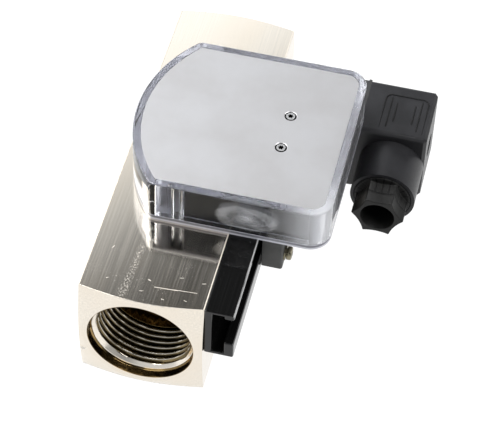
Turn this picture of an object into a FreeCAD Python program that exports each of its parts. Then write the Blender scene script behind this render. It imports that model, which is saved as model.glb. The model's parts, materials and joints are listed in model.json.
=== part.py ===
import FreeCAD, Part
import math
import os
import re
import Sketcher

# Variable area flow meter: a square flow body with a spring-loaded float, an indicator housing on
# top, and a limit switch that is clamped on a rail beside the body.
# Origin: centre of the inlet mouth. +Y is the flow direction, +Z is up. Sizes in millimetres.

SIZES = {
    # Flow body
    "body_side": 40.0,
    "body_length": 131.0,
    "end_flat_d": 38.0,
    "end_slope": 15.0,
    "mouth_d": 34.2,
    "mouth_depth": 2.6,
    "thread_d": 33.25,
    "port_depth": 19.0,
    "bore_d": 30.0,
    # Spiders and guide rod
    "spider_inset": 23.8,
    "spider_thick": 4.2,
    "spider_arm": 2.4,
    "spider_arm_sink": 0.4,
    "spider_hub_d": 7.2,
    "front_stop": 12.0,
    "rear_stop": 17.0,
    "rod_d": 4.0,
    "rod_end": 1.0,
    # Measuring sleeve
    "sleeve_end_d": 25.0,
    "throat_d": 20.0,
    "throat_start": 12.2,
    "throat_length": 2.0,
    "cone_length": 34.0,
    # Float
    "stroke": 30.0,
    "float_edge_d": 19.4,
    "float_edge_width": 1.0,
    "float_waist_d": 14.0,
    "float_tube_d": 9.0,
    "float_gap": 0.05,
    "edge_to_magnet": 7.0,
    "magnet_d": 16.4,
    "magnet_length": 9.0,
    # Return spring
    "wire_d": 0.9,
    "coil_d": 9.8,
    "coil_turns": 5.0,
    "coil_steps": 12.0,
    "wire_flats": 4.0,
    # Indicator housing
    "pivot_x": 30.3,
    "dial_radius": 48.7,
    "box_right": 51.4,
    "box_width": 65.2,
    "box_height": 16.3,
    "box_corner": 7.0,
    "box_arc_corner": 3.0,
    "box_edge": 0.7,
    "base_thick": 1.8,
    "wall_thick": 3.4,
    "rim_width": 2.6,
    "rim_height": 1.5,
    "gate_x": 25.2,
    "gate_rise": 8.6,
    "gate_d": 1.8,
    "gate_height": 0.25,
    "plate_thick": 1.4,
    "plate_gap": 0.05,
    "post_d": 4.0,
    "post_arc_inset": 9.03,
    "post_left_inset": 4.2,
    "post_screw_d": 2.2,
    "post_screw_length": 8.0,
    # Inner frame, bearings
    "frame_floor": 1.4,
    "frame_wall": 1.2,
    "frame_gap": 0.4,
    "frame_height": 12.4,
    "frame_post_gap": 0.3,
    "frame_floor_left": 12.0,
    "frame_right": 42.8,
    "frame_wing": 2.9,
    "pillar_spread": 14.1,
    "pillar_d": 5.2,
    "bridge_thick": 1.2,
    "bridge_drop": 4.2,
    "bridge_width": 4.4,
    "bearing_boss_d": 6.4,
    "bearing_boss_height": 1.4,
    "shaft_d": 2.0,
    "shaft_gap": 0.03,
    "shaft_foot": 0.2,
    "shaft_rise": 1.2,
    # Pointer
    "arm_level": 7.0,
    "arm_thick": 0.9,
    "arm_root": 3.6,
    "arm_tip": 1.8,
    "arm_reach": 44.0,
    "arm_tail": 7.6,
    "hub_d": 5.2,
    "hub_height": 2.2,
    "follower_d": 7.0,
    "follower_length": 4.3,
    "counterweight_d": 6.8,
    "counterweight_thick": 2.6,
    "flag_width": 3.2,
    "flag_thick": 0.6,
    "flag_height": 9.8,
    "flag_drop": 3.6,
    "scale_radius": 43.4,
    "scale_thick": 0.6,
    "scale_height": 5.6,
    "scale_rise": 6.8,
    "scale_end_gap": 2.2,
    "scale_leg_angle": 4.5,
    "scale_leg_lap": 0.5,
    # Rail
    "rail_start": 2.0,
    "rail_length": 98.0,
    "rail_width": 9.5,
    "rail_height": 20.4,
    "rail_web": 2.5,
    "rail_flange": 1.2,
    "rail_lip": 3.2,
    "rail_upper_lip": 2.3,
    "rail_lower_lip": 6.4,
    # Switch housing and its guide shoe
    "switch_start": 40.0,
    "switch_length": 72.0,
    "switch_thick": 6.8,
    "switch_height": 19.5,
    "switch_gap": 0.1,
    "switch_drop": 0.3,
    "switch_bevel": 0.5,
    "shoe_gap": 0.3,
    "shoe_inset": 6.0,
    "shoe_length": 50.0,
    "shoe_low": 3.1,
    "pocket_start": 17.0,
    "pocket_length": 28.0,
    "pocket_depth": 5.0,
    "pocket_margin": 4.2,
    "lid_thick": 1.0,
    "board_gap": 0.5,
    "board_thick": 0.8,
    "reed_d": 2.2,
    "reed_length": 14.0,
    "reed_lead": 4.0,
    "reed_lead_side": 0.6,
    # Clamp screw
    "clamp_screw_d": 3.0,
    "clamp_screw_inset": 4.0,
    "clamp_screw_rise": 4.7,
    "clamp_gap": 0.05,
    "clamp_head_d": 5.0,
    "clamp_head_thick": 2.4,
    # Connector base, blades, gasket
    "connector_inset": 11.1,
    "connector_depth": 13.2,
    "connector_margin": 0.2,
    "connector_drop": 0.4,
    "connector_bevel": 1.0,
    "blade_width": 6.3,
    "blade_thick": 0.8,
    "blade_root": 4.0,
    "blade_length": 8.0,
    "blade_spacing": 11.0,
    "blade_rise": 3.3,
    "earth_drop": 8.2,
    "gasket_thick": 1.0,
    "gasket_frame": 2.4,
    # Plug
    "plug_depth": 22.7,
    "plug_width": 23.4,
    "plug_height": 27.6,
    "plug_drop": 0.2,
    "plug_corner": 1.4,
    "plug_back_edge": 1.0,
    "plug_wall": 2.2,
    "plug_back": 5.0,
    "collar_x": 62.45,
    "collar_d": 21.6,
    "collar_length": 15.5,
    "collar_bore_d": 19.4,
    "collar_bore_depth": 12.3,
    "cable_hole_d": 11.6,
    "insert_depth": 10.0,
    "insert_gap": 0.2,
    "slot_gap": 0.25,
    "centre_screw_d": 3.0,
    "centre_screw_gap": 0.3,
    "centre_screw_bite": 7.6,
    "centre_head_d": 6.6,
    "centre_head_thick": 1.8,
    "centre_recess_d": 7.8,
    "centre_recess_depth": 2.3,
    # Cable gland
    "gland_start": 8.9,
    "gland_nut_d": 17.5,
    "gland_nut_length": 8.6,
    "gland_valley": 6.9,
    "gland_lobes": 6.0,
    "gland_thread_d": 18.6,
    "gland_thread_length": 5.4,
    "gland_gap": 0.3,
    "gland_hole_d": 11.2,
    "seal_hole_d": 10.4,
    # Shared by countersunk and slotted heads
    "head_ratio": 1.9,
    "slot_width": 0.7,
    "slot_depth": 0.7,
}

# Places and sizes that follow from others
DERIVED = {
    # The pointer turns opposite the middle of the float magnet's travel
    "pivot_y": "spider_inset + spider_thick + front_stop + edge_to_magnet + magnet_length / 2 + stroke / 2",
    "post_left_x": "pivot_x - sqrt((dial_radius - post_arc_inset) * (dial_radius - post_arc_inset)"
                   " - (box_width / 2 - post_left_inset) * (box_width / 2 - post_left_inset))",
    "frame_left": "post_left_x + post_d / 2 + frame_post_gap",
    "scale_angle": "2 * asin((box_width / 2 - wall_thick - scale_end_gap) / scale_radius) / (1 deg)",
    "connector_y": "switch_start + switch_length - connector_inset",
    "connector_z": "body_side / 2 - plug_drop - plug_height / 2",
}

doc = FreeCAD.newDocument("flow_meter")
dims = doc.addObject("Spreadsheet::Sheet", "dims")
for row, (name, size) in enumerate(SIZES.items(), start=1):
    dims.set("A%d" % row, name)
    dims.set("B%d" % row, str(size))
    dims.setAlias("B%d" % row, name)
doc.recompute()

ORIGIN = ("0", "0", "0")

# Nearer than this two places count as the same
NEAR = 0.01

# Rotations that lay a piece, drawn along +Y or +Z, along another direction
FROM_Y = {
    "+Y": FreeCAD.Rotation(),
    "-Y": FreeCAD.Rotation(FreeCAD.Vector(0, 0, 1), 180),
    "+X": FreeCAD.Rotation(FreeCAD.Vector(0, 0, 1), -90),
    "-X": FreeCAD.Rotation(FreeCAD.Vector(0, 0, 1), 90),
    "+Z": FreeCAD.Rotation(FreeCAD.Vector(1, 0, 0), 90),
    "-Z": FreeCAD.Rotation(FreeCAD.Vector(1, 0, 0), -90),
}
FROM_Z = {
    "+Z": FreeCAD.Rotation(),
    "-Z": FreeCAD.Rotation(FreeCAD.Vector(1, 0, 0), 180),
    "+Y": FreeCAD.Rotation(FreeCAD.Vector(1, 0, 0), -90),
    "-Y": FreeCAD.Rotation(FreeCAD.Vector(1, 0, 0), 90),
    "+X": FreeCAD.Rotation(FreeCAD.Vector(0, 1, 0), 90),
    "-X": FreeCAD.Rotation(FreeCAD.Vector(0, 1, 0), -90),
}


# Helpers: expressions

def bound(text):
    """Writes out derived names and turns the size names in an expression into references to the sheet."""
    def written(word):
        name = word[0]
        if name in DERIVED:
            return "(" + bound(DERIVED[name]) + ")"
        return "dims." + name if name in SIZES else name
    return re.sub(r"[A-Za-z_]\w*", written, text)


def value(text):
    """The present value of an expression in size names."""
    return float(dims.evalExpression(bound(text)))


def bind(thing, field, text):
    thing.setExpression(field, bound(text))


def place(thing, at, rotation=FreeCAD.Rotation()):
    """Sets the rotation and ties the position to three expressions."""
    thing.Placement = FreeCAD.Placement(FreeCAD.Vector(), rotation)
    for axis, text in zip("xyz", at):
        bind(thing, "Placement.Base." + axis, text)


# Helpers: sketches

def new_body(label):
    body = doc.addObject("PartDesign::Body", label)
    body.Label = label
    return body


def new_sketch(body, role, name, lift="0"):
    """An empty sketch on an origin plane of the body, lifted along the plane's normal."""
    sketch = body.newObject("Sketcher::SketchObject", name)
    plane = [feature for feature in body.Origin.OriginFeatures if feature.Role == role][0]
    sketch.AttachmentSupport = [(plane, "")]
    sketch.MapMode = "FlatFace"
    bind(sketch, "AttachmentOffset.Base.z", lift)
    return sketch


def tie_point(sketch, edge, end, across, up):
    for kind, text in (("DistanceX", across), ("DistanceY", up)):
        number = sketch.addConstraint(Sketcher.Constraint(kind, -1, 1, edge, end, value(text)))
        bind(sketch, "Constraints[%d]" % number, text)


def draw_outline(sketch, corners):
    """A closed outline of straight lines through corners given as pairs of expressions."""
    points = [FreeCAD.Vector(value(across), value(up), 0) for across, up in corners]
    first = sketch.GeometryCount
    count = len(points)
    for i in range(count):
        sketch.addGeometry(Part.LineSegment(points[i], points[(i + 1) % count]), False)
    for i in range(count):
        following = first + (i + 1) % count
        sketch.addConstraint(Sketcher.Constraint("Coincident", first + i, 2, following, 1))
        tie_point(sketch, first + i, 1, *corners[i])


def draw_rectangle(sketch, left, low, right, high):
    draw_outline(sketch, [(left, low), (right, low), (right, high), (left, high)])


def draw_circle(sketch, across, up, diameter):
    centre = FreeCAD.Vector(value(across), value(up), 0)
    circle = Part.Circle(centre, FreeCAD.Vector(0, 0, 1), value(diameter) / 2)
    number = sketch.addGeometry(circle, False)
    tie_point(sketch, number, 3, across, up)
    size = sketch.addConstraint(Sketcher.Constraint("Diameter", number, value(diameter)))
    bind(sketch, "Constraints[%d]" % size, diameter)


# Helpers: features

def revolve(body, sketch, name, kind="PartDesign::Revolution"):
    feature = body.newObject(kind, name)
    feature.Profile = sketch
    feature.ReferenceAxis = (sketch, ["V_Axis"])
    feature.Angle = 360
    return feature


def pad(body, sketch, name, length, kind="PartDesign::Pad", backwards=False):
    feature = body.newObject(kind, name)
    feature.Profile = sketch
    feature.Reversed = backwards
    bind(feature, "Length", length)
    return feature


def remove_cylinder(body, name, at, along, diameter, depth):
    feature = body.newObject("PartDesign::SubtractiveCylinder", name)
    place(feature, at, FROM_Z[along])
    bind(feature, "Radius", "(%s) / 2" % diameter)
    bind(feature, "Height", depth)
    return feature


def add_cylinder(body, name, at, along, diameter, depth):
    feature = body.newObject("PartDesign::AdditiveCylinder", name)
    place(feature, at, FROM_Z[along])
    bind(feature, "Radius", "(%s) / 2" % diameter)
    bind(feature, "Height", depth)
    return feature


def remove_countersink(body, name, at, along, screw_d):
    """The conical seat of a countersunk head; at lies on the face that the head is flush with."""
    feature = body.newObject("PartDesign::SubtractiveCone", name)
    place(feature, at, FROM_Z[along])
    bind(feature, "Radius1", "%s * head_ratio / 2" % screw_d)
    bind(feature, "Radius2", "%s / 2" % screw_d)
    bind(feature, "Height", "%s * (head_ratio - 1) / 2" % screw_d)
    return feature


def sized_box(body, kind, name, low, size):
    feature = body.newObject(kind, name)
    place(feature, low)
    for field, text in zip(("Length", "Width", "Height"), size):
        bind(feature, field, text)
    return feature


def remove_box(body, name, low, size):
    return sized_box(body, "PartDesign::SubtractiveBox", name, low, size)


def add_box(body, name, low, size):
    return sized_box(body, "PartDesign::AdditiveBox", name, low, size)


def pattern(body, name, feature, sketch, count, angle="360"):
    """Repeats a feature around the normal through the sketch's origin."""
    copies = body.newObject("PartDesign::PolarPattern", name)
    copies.Originals = [feature]
    copies.Axis = (sketch, ["N_Axis"])
    bind(copies, "Angle", angle)
    bind(copies, "Occurrences", count)
    body.Tip = copies
    return copies


def fillet(body, name, feature, edges, radius, kind="PartDesign::Fillet"):
    doc.recompute()
    rounding = body.newObject(kind, name)
    rounding.Base = (feature, edges)
    bind(rounding, "Size" if kind.endswith("Chamfer") else "Radius", radius)
    return rounding


def edges_where(feature, test):
    """Names of the straight edges whose middle and direction pass the test."""
    doc.recompute()
    names = []
    for number, edge in enumerate(feature.Shape.Edges, start=1):
        if edge.Curve.TypeId != "Part::GeomLine":
            continue
        middle = edge.CenterOfMass
        direction = edge.Vertexes[-1].Point - edge.Vertexes[0].Point
        if test(middle, direction.normalize()):
            names.append("Edge%d" % number)
    return names


# Helpers: whole pieces

def turned(label, corners, along="+Y", at=ORIGIN):
    """A turned piece: (radius, station) outline spun about its axis, laid along a direction."""
    body = new_body(label)
    sketch = new_sketch(body, "XY_Plane", label + "_outline")
    draw_outline(sketch, corners)
    revolve(body, sketch, label + "_turn")
    place(body, at, FROM_Y[along])
    return body


def tube(label, inner_d, outer_d, length, along, at):
    inner = "(%s) / 2" % inner_d
    outer = "(%s) / 2" % outer_d
    return turned(label, [(inner, "0"), (outer, "0"), (outer, length), (inner, length)], along, at)


def countersunk_screw(label, at, along, screw_d, length):
    """Countersunk screw; at is the middle of its flat head, along points to its tip."""
    return turned(label, [
        ("0", "0"),
        ("%s * head_ratio / 2" % screw_d, "0"),
        ("%s / 2" % screw_d, "%s * (head_ratio - 1) / 2" % screw_d),
        ("%s / 2" % screw_d, length),
        ("0", length),
    ], along, at)


def group(label, pieces):
    """Several equal solids that share one node."""
    compound = doc.addObject("Part::Compound", label)
    compound.Label = label
    compound.Links = pieces
    return compound


def cut(label, base, tool):
    result = doc.addObject("Part::Cut", label)
    result.Label = label
    result.Base = base
    result.Tool = tool
    return result


nodes = []


def keep(piece):
    nodes.append(piece)
    return piece


# Shared places
TOP = "(body_side / 2)"
SLEEVE_END = "(body_length - spider_inset)"
ARMS_IN = "(spider_inset + spider_thick)"
ARMS_OUT = "(body_length - spider_inset - spider_thick)"
FLOAT_FRONT = "(" + ARMS_IN + " + front_stop)"
MAGNET_START = "(" + FLOAT_FRONT + " + edge_to_magnet)"
MAGNET_END = "(" + MAGNET_START + " + magnet_length)"
BOX_FLOOR = "(body_side / 2 + base_thick)"
LEDGE = "(body_side / 2 + box_height - rim_height)"
BOX_FRONT = "(pivot_y - box_width / 2)"
BOX_BACK = "(pivot_y + box_width / 2)"
ARM_LOW = "(body_side / 2 + arm_level)"
HALF_SWEEP = "(stroke / 2 / pivot_x * 180 / pi)"
RAIL_FACE = "(body_side / 2 + rail_width)"
RAIL_LOW = "(body_side / 2 - rail_height)"
SWITCH_LEFT = "(body_side / 2 + rail_width + switch_gap)"
SWITCH_RIGHT = "(body_side / 2 + rail_width + switch_gap + switch_thick)"
SWITCH_LOW = "(body_side / 2 - switch_drop - switch_height)"
CONNECTOR_FACE = "(body_side / 2 + rail_width + switch_gap + switch_thick + connector_depth)"
PLUG_START = "(body_side / 2 + rail_width + switch_gap + switch_thick + connector_depth + gasket_thick)"
PLUG_BACK = "(" + PLUG_START + " + plug_depth)"
PLUG_FRONT = "(connector_y - plug_width / 2)"
COLLAR_MOUTH = "(connector_y - plug_width / 2 - collar_length)"


# Flow body: square bar, turned ends, stepped bore
def make_flow_body():
    body = new_body("flow_body")
    section = new_sketch(body, "XZ_Plane", "bar_section")
    draw_rectangle(section, "-body_side / 2", "-body_side / 2", "body_side / 2", "body_side / 2")
    pad(body, section, "bar", "body_length", backwards=True)

    ends = new_sketch(body, "XY_Plane", "end_cones")
    reach = "body_side"
    fall = "((body_side - end_flat_d / 2) * tan(end_slope))"
    draw_outline(ends, [("end_flat_d / 2", "0"), (reach, "0"), (reach, fall)])
    draw_outline(ends, [
        ("end_flat_d / 2", "body_length"),
        (reach, "body_length"),
        (reach, "body_length - " + fall),
    ])
    revolve(body, ends, "turned_ends", "PartDesign::Groove")

    bore = new_sketch(body, "XY_Plane", "bore_outline")
    half = [
        ("mouth_d / 2", "0"),
        ("mouth_d / 2", "mouth_depth"),
        ("thread_d / 2", "mouth_depth + (mouth_d - thread_d) / 2"),
        ("thread_d / 2", "port_depth"),
        ("bore_d / 2", "port_depth"),
    ]
    far_half = [(radius, "body_length - (%s)" % station) for radius, station in reversed(half)]
    draw_outline(bore, [("0", "0")] + half + far_half + [("0", "body_length")])
    revolve(body, bore, "stepped_bore", "PartDesign::Groove")

    return keep(body)


# Spiders with three arms in the sleeve's ends; their hubs are the float's stops
def make_spider(label, arms, hub_start, stop):
    body = new_body(label)
    hub = new_sketch(body, "XZ_Plane", label + "_hub", "-" + hub_start)
    draw_circle(hub, "0", "0", "spider_hub_d")
    draw_circle(hub, "0", "0", "rod_d")
    pad(body, hub, label + "_hub_pad", "spider_thick + " + stop, backwards=True)
    arm = new_sketch(body, "XZ_Plane", label + "_arm", "-" + arms)
    draw_rectangle(arm, "-spider_arm / 2", "spider_hub_d / 2 - spider_arm_sink", "spider_arm / 2",
                   "sqrt(sleeve_end_d * sleeve_end_d - spider_arm * spider_arm) / 2")
    arm_pad = pad(body, arm, label + "_arm_pad", "spider_thick", backwards=True)
    pattern(body, label + "_arms", arm_pad, arm, "3")
    return keep(body)


# Guide rod, pressed into both hubs
def make_guide_rod():
    start = "spider_inset - rod_end"
    length = "(body_length - 2 * (%s))" % start
    return keep(turned("guide_rod", [("0", "0"), ("rod_d / 2", "0"), ("rod_d / 2", length), ("0", length)],
                       at=("0", start, "0")))


# Measuring sleeve: throat with a slow cone behind it, and a seat for a spider in each end
def make_sleeve():
    length = "(%s - spider_inset)" % SLEEVE_END
    seat = "sleeve_end_d / 2"
    return keep(turned("measuring_sleeve", [
        (seat, "0"),
        ("bore_d / 2", "0"),
        ("bore_d / 2", length),
        (seat, length),
        (seat, "throat_start + throat_length + cone_length"),
        ("throat_d / 2", "throat_start + throat_length"),
        ("throat_d / 2", "throat_start"),
        (seat, "throat_start"),
    ], at=("0", "spider_inset", "0")))


# Float: metering disc on a tube that slides on the rod, with a ring magnet pressed on the tube
def make_float():
    bore = "rod_d / 2 + float_gap"
    end = "edge_to_magnet + magnet_length"
    keep(turned("float_body", [
        (bore, "0"),
        ("float_edge_d / 2", "0"),
        ("float_edge_d / 2", "float_edge_width"),
        ("float_waist_d / 2", "float_edge_width"),
        ("float_waist_d / 2", "edge_to_magnet"),
        ("float_tube_d / 2", "edge_to_magnet"),
        ("float_tube_d / 2", end),
        (bore, end),
    ], at=("0", FLOAT_FRONT, "0")))
    keep(tube("float_magnet", "float_tube_d", "magnet_d", "magnet_length", "+Y", ("0", MAGNET_START, "0")))


# Return spring between the float's magnet and the outlet spider: a square wire wound by formula
def make_spring():
    radius = value("coil_d / 2")
    wire = value("wire_d / 2")
    height = value("%s - wire_d - %s" % (ARMS_OUT, MAGNET_END))
    flats = int(value("wire_flats"))
    steps = int(value("coil_turns * coil_steps"))
    rings = []
    for step in range(steps + 1):
        turn = 2 * math.pi * step / value("coil_steps")
        ring = []
        for flat in range(flats):
            around = 2 * math.pi * flat / flats
            reach = radius + wire * math.cos(around)
            ring.append(FreeCAD.Vector(reach * math.cos(turn), reach * math.sin(turn),
                                       height * step / steps + wire * math.sin(around)))
        rings.append(ring)
    faces = [Part.Face(Part.makePolygon(ring + ring[:1])) for ring in (rings[0], rings[-1])]
    for ring, following in zip(rings, rings[1:]):
        for flat in range(flats):
            beside = (flat + 1) % flats
            for corners in ((ring[flat], ring[beside], following[flat]),
                            (ring[beside], following[beside], following[flat])):
                faces.append(Part.Face(Part.makePolygon(list(corners) + [corners[0]])))
    coil = Part.Solid(Part.Shell(faces))
    if coil.Volume < 0:
        coil.reverse()
    spring = doc.addObject("Part::Feature", "float_spring")
    spring.Label = "float_spring"
    spring.Shape = coil
    place(spring, ("0", MAGNET_END + " + wire_d / 2", "0"), FROM_Z["+Y"])
    return keep(spring)


# Indicator housing. Its outline is a D: straight on three sides, an arc about the pivot on the left
def draw_dial_outline(sketch, inset):
    reach = "(dial_radius - %s)" % inset
    half = "(box_width / 2 - %s)" % inset
    right = "box_right - %s" % inset
    front = "pivot_y - " + half
    back = "pivot_y + " + half
    left = "pivot_x - sqrt(%s * %s - %s * %s)" % (reach, reach, half, half)
    centre = FreeCAD.Vector(value("pivot_x"), value("pivot_y"), 0)
    a = FreeCAD.Vector(value(left), value(front), 0)
    b = FreeCAD.Vector(value(right), value(front), 0)
    c = FreeCAD.Vector(value(right), value(back), 0)
    d = FreeCAD.Vector(value(left), value(back), 0)
    for start, end in ((a, b), (b, c), (c, d)):
        sketch.addGeometry(Part.LineSegment(start, end), False)
    half_angle = math.asin(value(half) / value(reach))
    circle = Part.Circle(centre, FreeCAD.Vector(0, 0, 1), value(reach))
    sketch.addGeometry(Part.ArcOfCircle(circle, math.pi - half_angle, math.pi + half_angle), False)
    sketch.addConstraint(Sketcher.Constraint("Coincident", 0, 2, 1, 1))
    sketch.addConstraint(Sketcher.Constraint("Coincident", 1, 2, 2, 1))
    sketch.addConstraint(Sketcher.Constraint("Coincident", 2, 2, 3, 1))
    sketch.addConstraint(Sketcher.Constraint("Coincident", 3, 2, 0, 1))
    tie_point(sketch, 1, 1, right, front)
    tie_point(sketch, 2, 1, right, back)
    tie_point(sketch, 3, 3, "pivot_x", "pivot_y")
    sketch.addConstraint(Sketcher.Constraint("Horizontal", 0))
    sketch.addConstraint(Sketcher.Constraint("Horizontal", 2))
    number = sketch.addConstraint(Sketcher.Constraint("Radius", 3, value(reach)))
    bind(sketch, "Constraints[%d]" % number, reach)


def dial_prism(label, inset, low, height, arc_corner=None, top_edge=None):
    """A D-shaped slab between two heights, with rounded corners and, if asked, a bevelled top."""
    body = new_body(label)
    sketch = new_sketch(body, "XY_Plane", label + "_outline", low)
    draw_dial_outline(sketch, inset)
    slab = pad(body, sketch, label + "_pad", height)
    middle_x = value("pivot_x")
    right = edges_where(slab, lambda p, along: abs(along.z) > 0.9 and p.x > middle_x)
    last = fillet(body, label + "_corners", slab, right, "box_corner - %s" % inset)
    if arc_corner:
        left = edges_where(last, lambda p, along: abs(along.z) > 0.9 and p.x < middle_x)
        last = fillet(body, label + "_arc_corners", last, left, arc_corner)
    if top_edge:
        doc.recompute()
        top = value(low) + value(height)
        names = ["Edge%d" % number for number, edge in enumerate(last.Shape.Edges, start=1)
                 if abs(edge.BoundBox.ZMin - top) < NEAR and abs(edge.BoundBox.ZMax - top) < NEAR]
        last = fillet(body, label + "_top_edge", last, names, top_edge, "PartDesign::Chamfer")
    return body


def cover_post_places():
    """A post in each of the arc's corners."""
    return [("post_left_x", "pivot_y %s (box_width / 2 - post_left_inset)" % sign) for sign in ("-", "+")]


def make_indicator_base():
    return keep(dial_prism("indicator_base", "0", TOP, "base_thick", "box_arc_corner"))


def make_cover():
    """Clear cover with posts inside and the moulding's gate stub on the front wall."""
    outside = dial_prism("cover_outside", "0", BOX_FLOOR, "box_height - base_thick", "box_arc_corner",
                         "box_edge")
    inside = dial_prism("cover_inside", "wall_thick", BOX_FLOOR, "box_height - base_thick - rim_height")
    recess = dial_prism("cover_recess", "rim_width", LEDGE, "rim_height")
    walls = cut("cover_walls", cut("cover_shell", outside, inside), recess)
    posts = []
    for number, (x, y) in enumerate(cover_post_places()):
        post = doc.addObject("Part::Cylinder", "cover_post_%d" % number)
        place(post, (x, y, BOX_FLOOR))
        bind(post, "Radius", "post_d / 2")
        bind(post, "Height", "box_height - base_thick - rim_height")
        posts.append(post)
    gate = doc.addObject("Part::Cylinder", "cover_gate")
    place(gate, ("gate_x", BOX_FRONT + " - gate_height", TOP + " + gate_rise"), FROM_Z["+Y"])
    bind(gate, "Radius", "gate_d / 2")
    bind(gate, "Height", "gate_height + wall_thick / 2")
    joined = doc.addObject("Part::MultiFuse", "clear_cover")
    joined.Label = "clear_cover"
    joined.Shapes = [walls, gate] + posts
    return keep(joined)


def plate_screw_places():
    return [("pivot_x", "pivot_y %s pillar_spread / 2" % sign) for sign in ("-", "+")]


def make_dial_plate():
    body = dial_prism("dial_plate", "(rim_width + plate_gap)", LEDGE, "plate_thick")
    for number, (x, y) in enumerate(plate_screw_places()):
        top = LEDGE + " + plate_thick"
        remove_cylinder(body, "plate_hole_%d" % number, (x, y, top), "-Z", "post_screw_d", "plate_thick")
        remove_countersink(body, "plate_sink_%d" % number, (x, y, top), "-Z", "post_screw_d")
    return keep(body)


def make_plate_screws():
    screws = [countersunk_screw("plate_screw_%d" % number, (x, y, LEDGE + " + plate_thick"), "-Z",
                                "post_screw_d", "post_screw_length")
              for number, (x, y) in enumerate(plate_screw_places())]
    return keep(group("plate_screws", screws))


# Inner frame: floor, three walls, and two pillars that carry the plate and a bridge over the pointer
def make_inner_frame():
    body = new_body("inner_frame")
    front = "%s + wall_thick + frame_gap" % BOX_FRONT
    back = "%s - wall_thick - frame_gap" % BOX_BACK
    depth = "(box_width - 2 * wall_thick - 2 * frame_gap)"
    add_box(body, "frame_floor_slab", ("frame_floor_left", front, BOX_FLOOR),
            ("frame_right - frame_floor_left", depth, "frame_floor"))
    wing = "frame_right + frame_wing - frame_left"
    add_box(body, "frame_front", ("frame_left", front, BOX_FLOOR), (wing, "frame_wall", "frame_height"))
    add_box(body, "frame_back", ("frame_left", back + " - frame_wall", BOX_FLOOR),
            (wing, "frame_wall", "frame_height"))
    add_box(body, "frame_side", ("frame_right - frame_wall", front, BOX_FLOOR),
            ("frame_wall", depth, "frame_height"))
    add_cylinder(body, "bearing_boss", ("pivot_x", "pivot_y", BOX_FLOOR), "+Z", "bearing_boss_d",
                 "frame_floor + bearing_boss_height")
    for number, (x, y) in enumerate(plate_screw_places()):
        add_cylinder(body, "pillar_%d" % number, (x, y, BOX_FLOOR), "+Z", "pillar_d",
                     "box_height - base_thick - rim_height")
    add_box(body, "bearing_bridge",
            ("pivot_x - bridge_width / 2", "pivot_y - pillar_spread / 2", LEDGE + " - bridge_drop"),
            ("bridge_width", "pillar_spread", "bridge_thick"))
    remove_cylinder(body, "bearing_hole", ("pivot_x", "pivot_y", BOX_FLOOR), "+Z",
                    "shaft_d + 2 * shaft_gap", "box_height - base_thick - rim_height")
    for number, (x, y) in enumerate(plate_screw_places()):
        remove_cylinder(body, "pillar_pilot_%d" % number, (x, y, LEDGE), "-Z", "post_screw_d",
                        "post_screw_length - plate_thick")
    return keep(body)


# Pointer. Its pieces are drawn pointing to -X and turned about the pivot to the no-flow position
def turn_to_rest(body):
    body.Placement = FreeCAD.Placement(FreeCAD.Vector(), FreeCAD.Rotation(FreeCAD.Vector(0, 0, 1), 1))
    bind(body, "Placement.Rotation.Angle", HALF_SWEEP)
    for axis, text in (("x", "pivot_x"), ("y", "pivot_y")):
        bind(body, "Placement.Base." + axis, text)
    return keep(body)


def make_pointer():
    foot = "%s + shaft_foot" % BOX_FLOOR
    top = "%s - bridge_drop + bridge_thick + shaft_rise" % LEDGE
    shaft = new_body("pointer_shaft")
    add_cylinder(shaft, "shaft_rod", ("0", "0", foot), "+Z", "shaft_d", "(%s) - (%s)" % (top, foot))
    turn_to_rest(shaft)

    arm = new_body("pointer_arm")
    blade = new_sketch(arm, "XY_Plane", "arm_outline", ARM_LOW)
    tail = "arm_tail + counterweight_d / 2"
    draw_outline(blade, [
        (tail, "-arm_root / 2"),
        ("0", "-arm_root / 2"),
        ("-arm_reach", "-arm_tip / 2"),
        ("-arm_reach", "arm_tip / 2"),
        ("0", "arm_root / 2"),
        (tail, "arm_root / 2"),
    ])
    pad(arm, blade, "arm_blade", "arm_thick")
    hub_low = ARM_LOW + " - (hub_height - arm_thick) / 2"
    add_cylinder(arm, "arm_hub", ("0", "0", hub_low), "+Z", "hub_d", "hub_height")
    remove_cylinder(arm, "arm_bore", ("0", "0", hub_low), "+Z", "shaft_d", "hub_height")
    turn_to_rest(arm)

    magnet = new_body("follower_magnet")
    add_cylinder(magnet, "follower_disc", ("-pivot_x", "0", ARM_LOW + " - follower_length"), "+Z",
                 "follower_d", "follower_length")
    turn_to_rest(magnet)

    weight = new_body("counterweight")
    add_cylinder(weight, "weight_disc", ("arm_tail", "0", ARM_LOW + " - counterweight_thick"), "+Z",
                 "counterweight_d", "counterweight_thick")
    turn_to_rest(weight)

    flag = new_body("pointer_flag")
    add_box(flag, "flag_plate", ("-arm_reach - flag_thick", "-flag_width / 2", ARM_LOW + " - flag_drop"),
            ("flag_thick", "flag_width", "flag_height"))
    turn_to_rest(flag)


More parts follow.
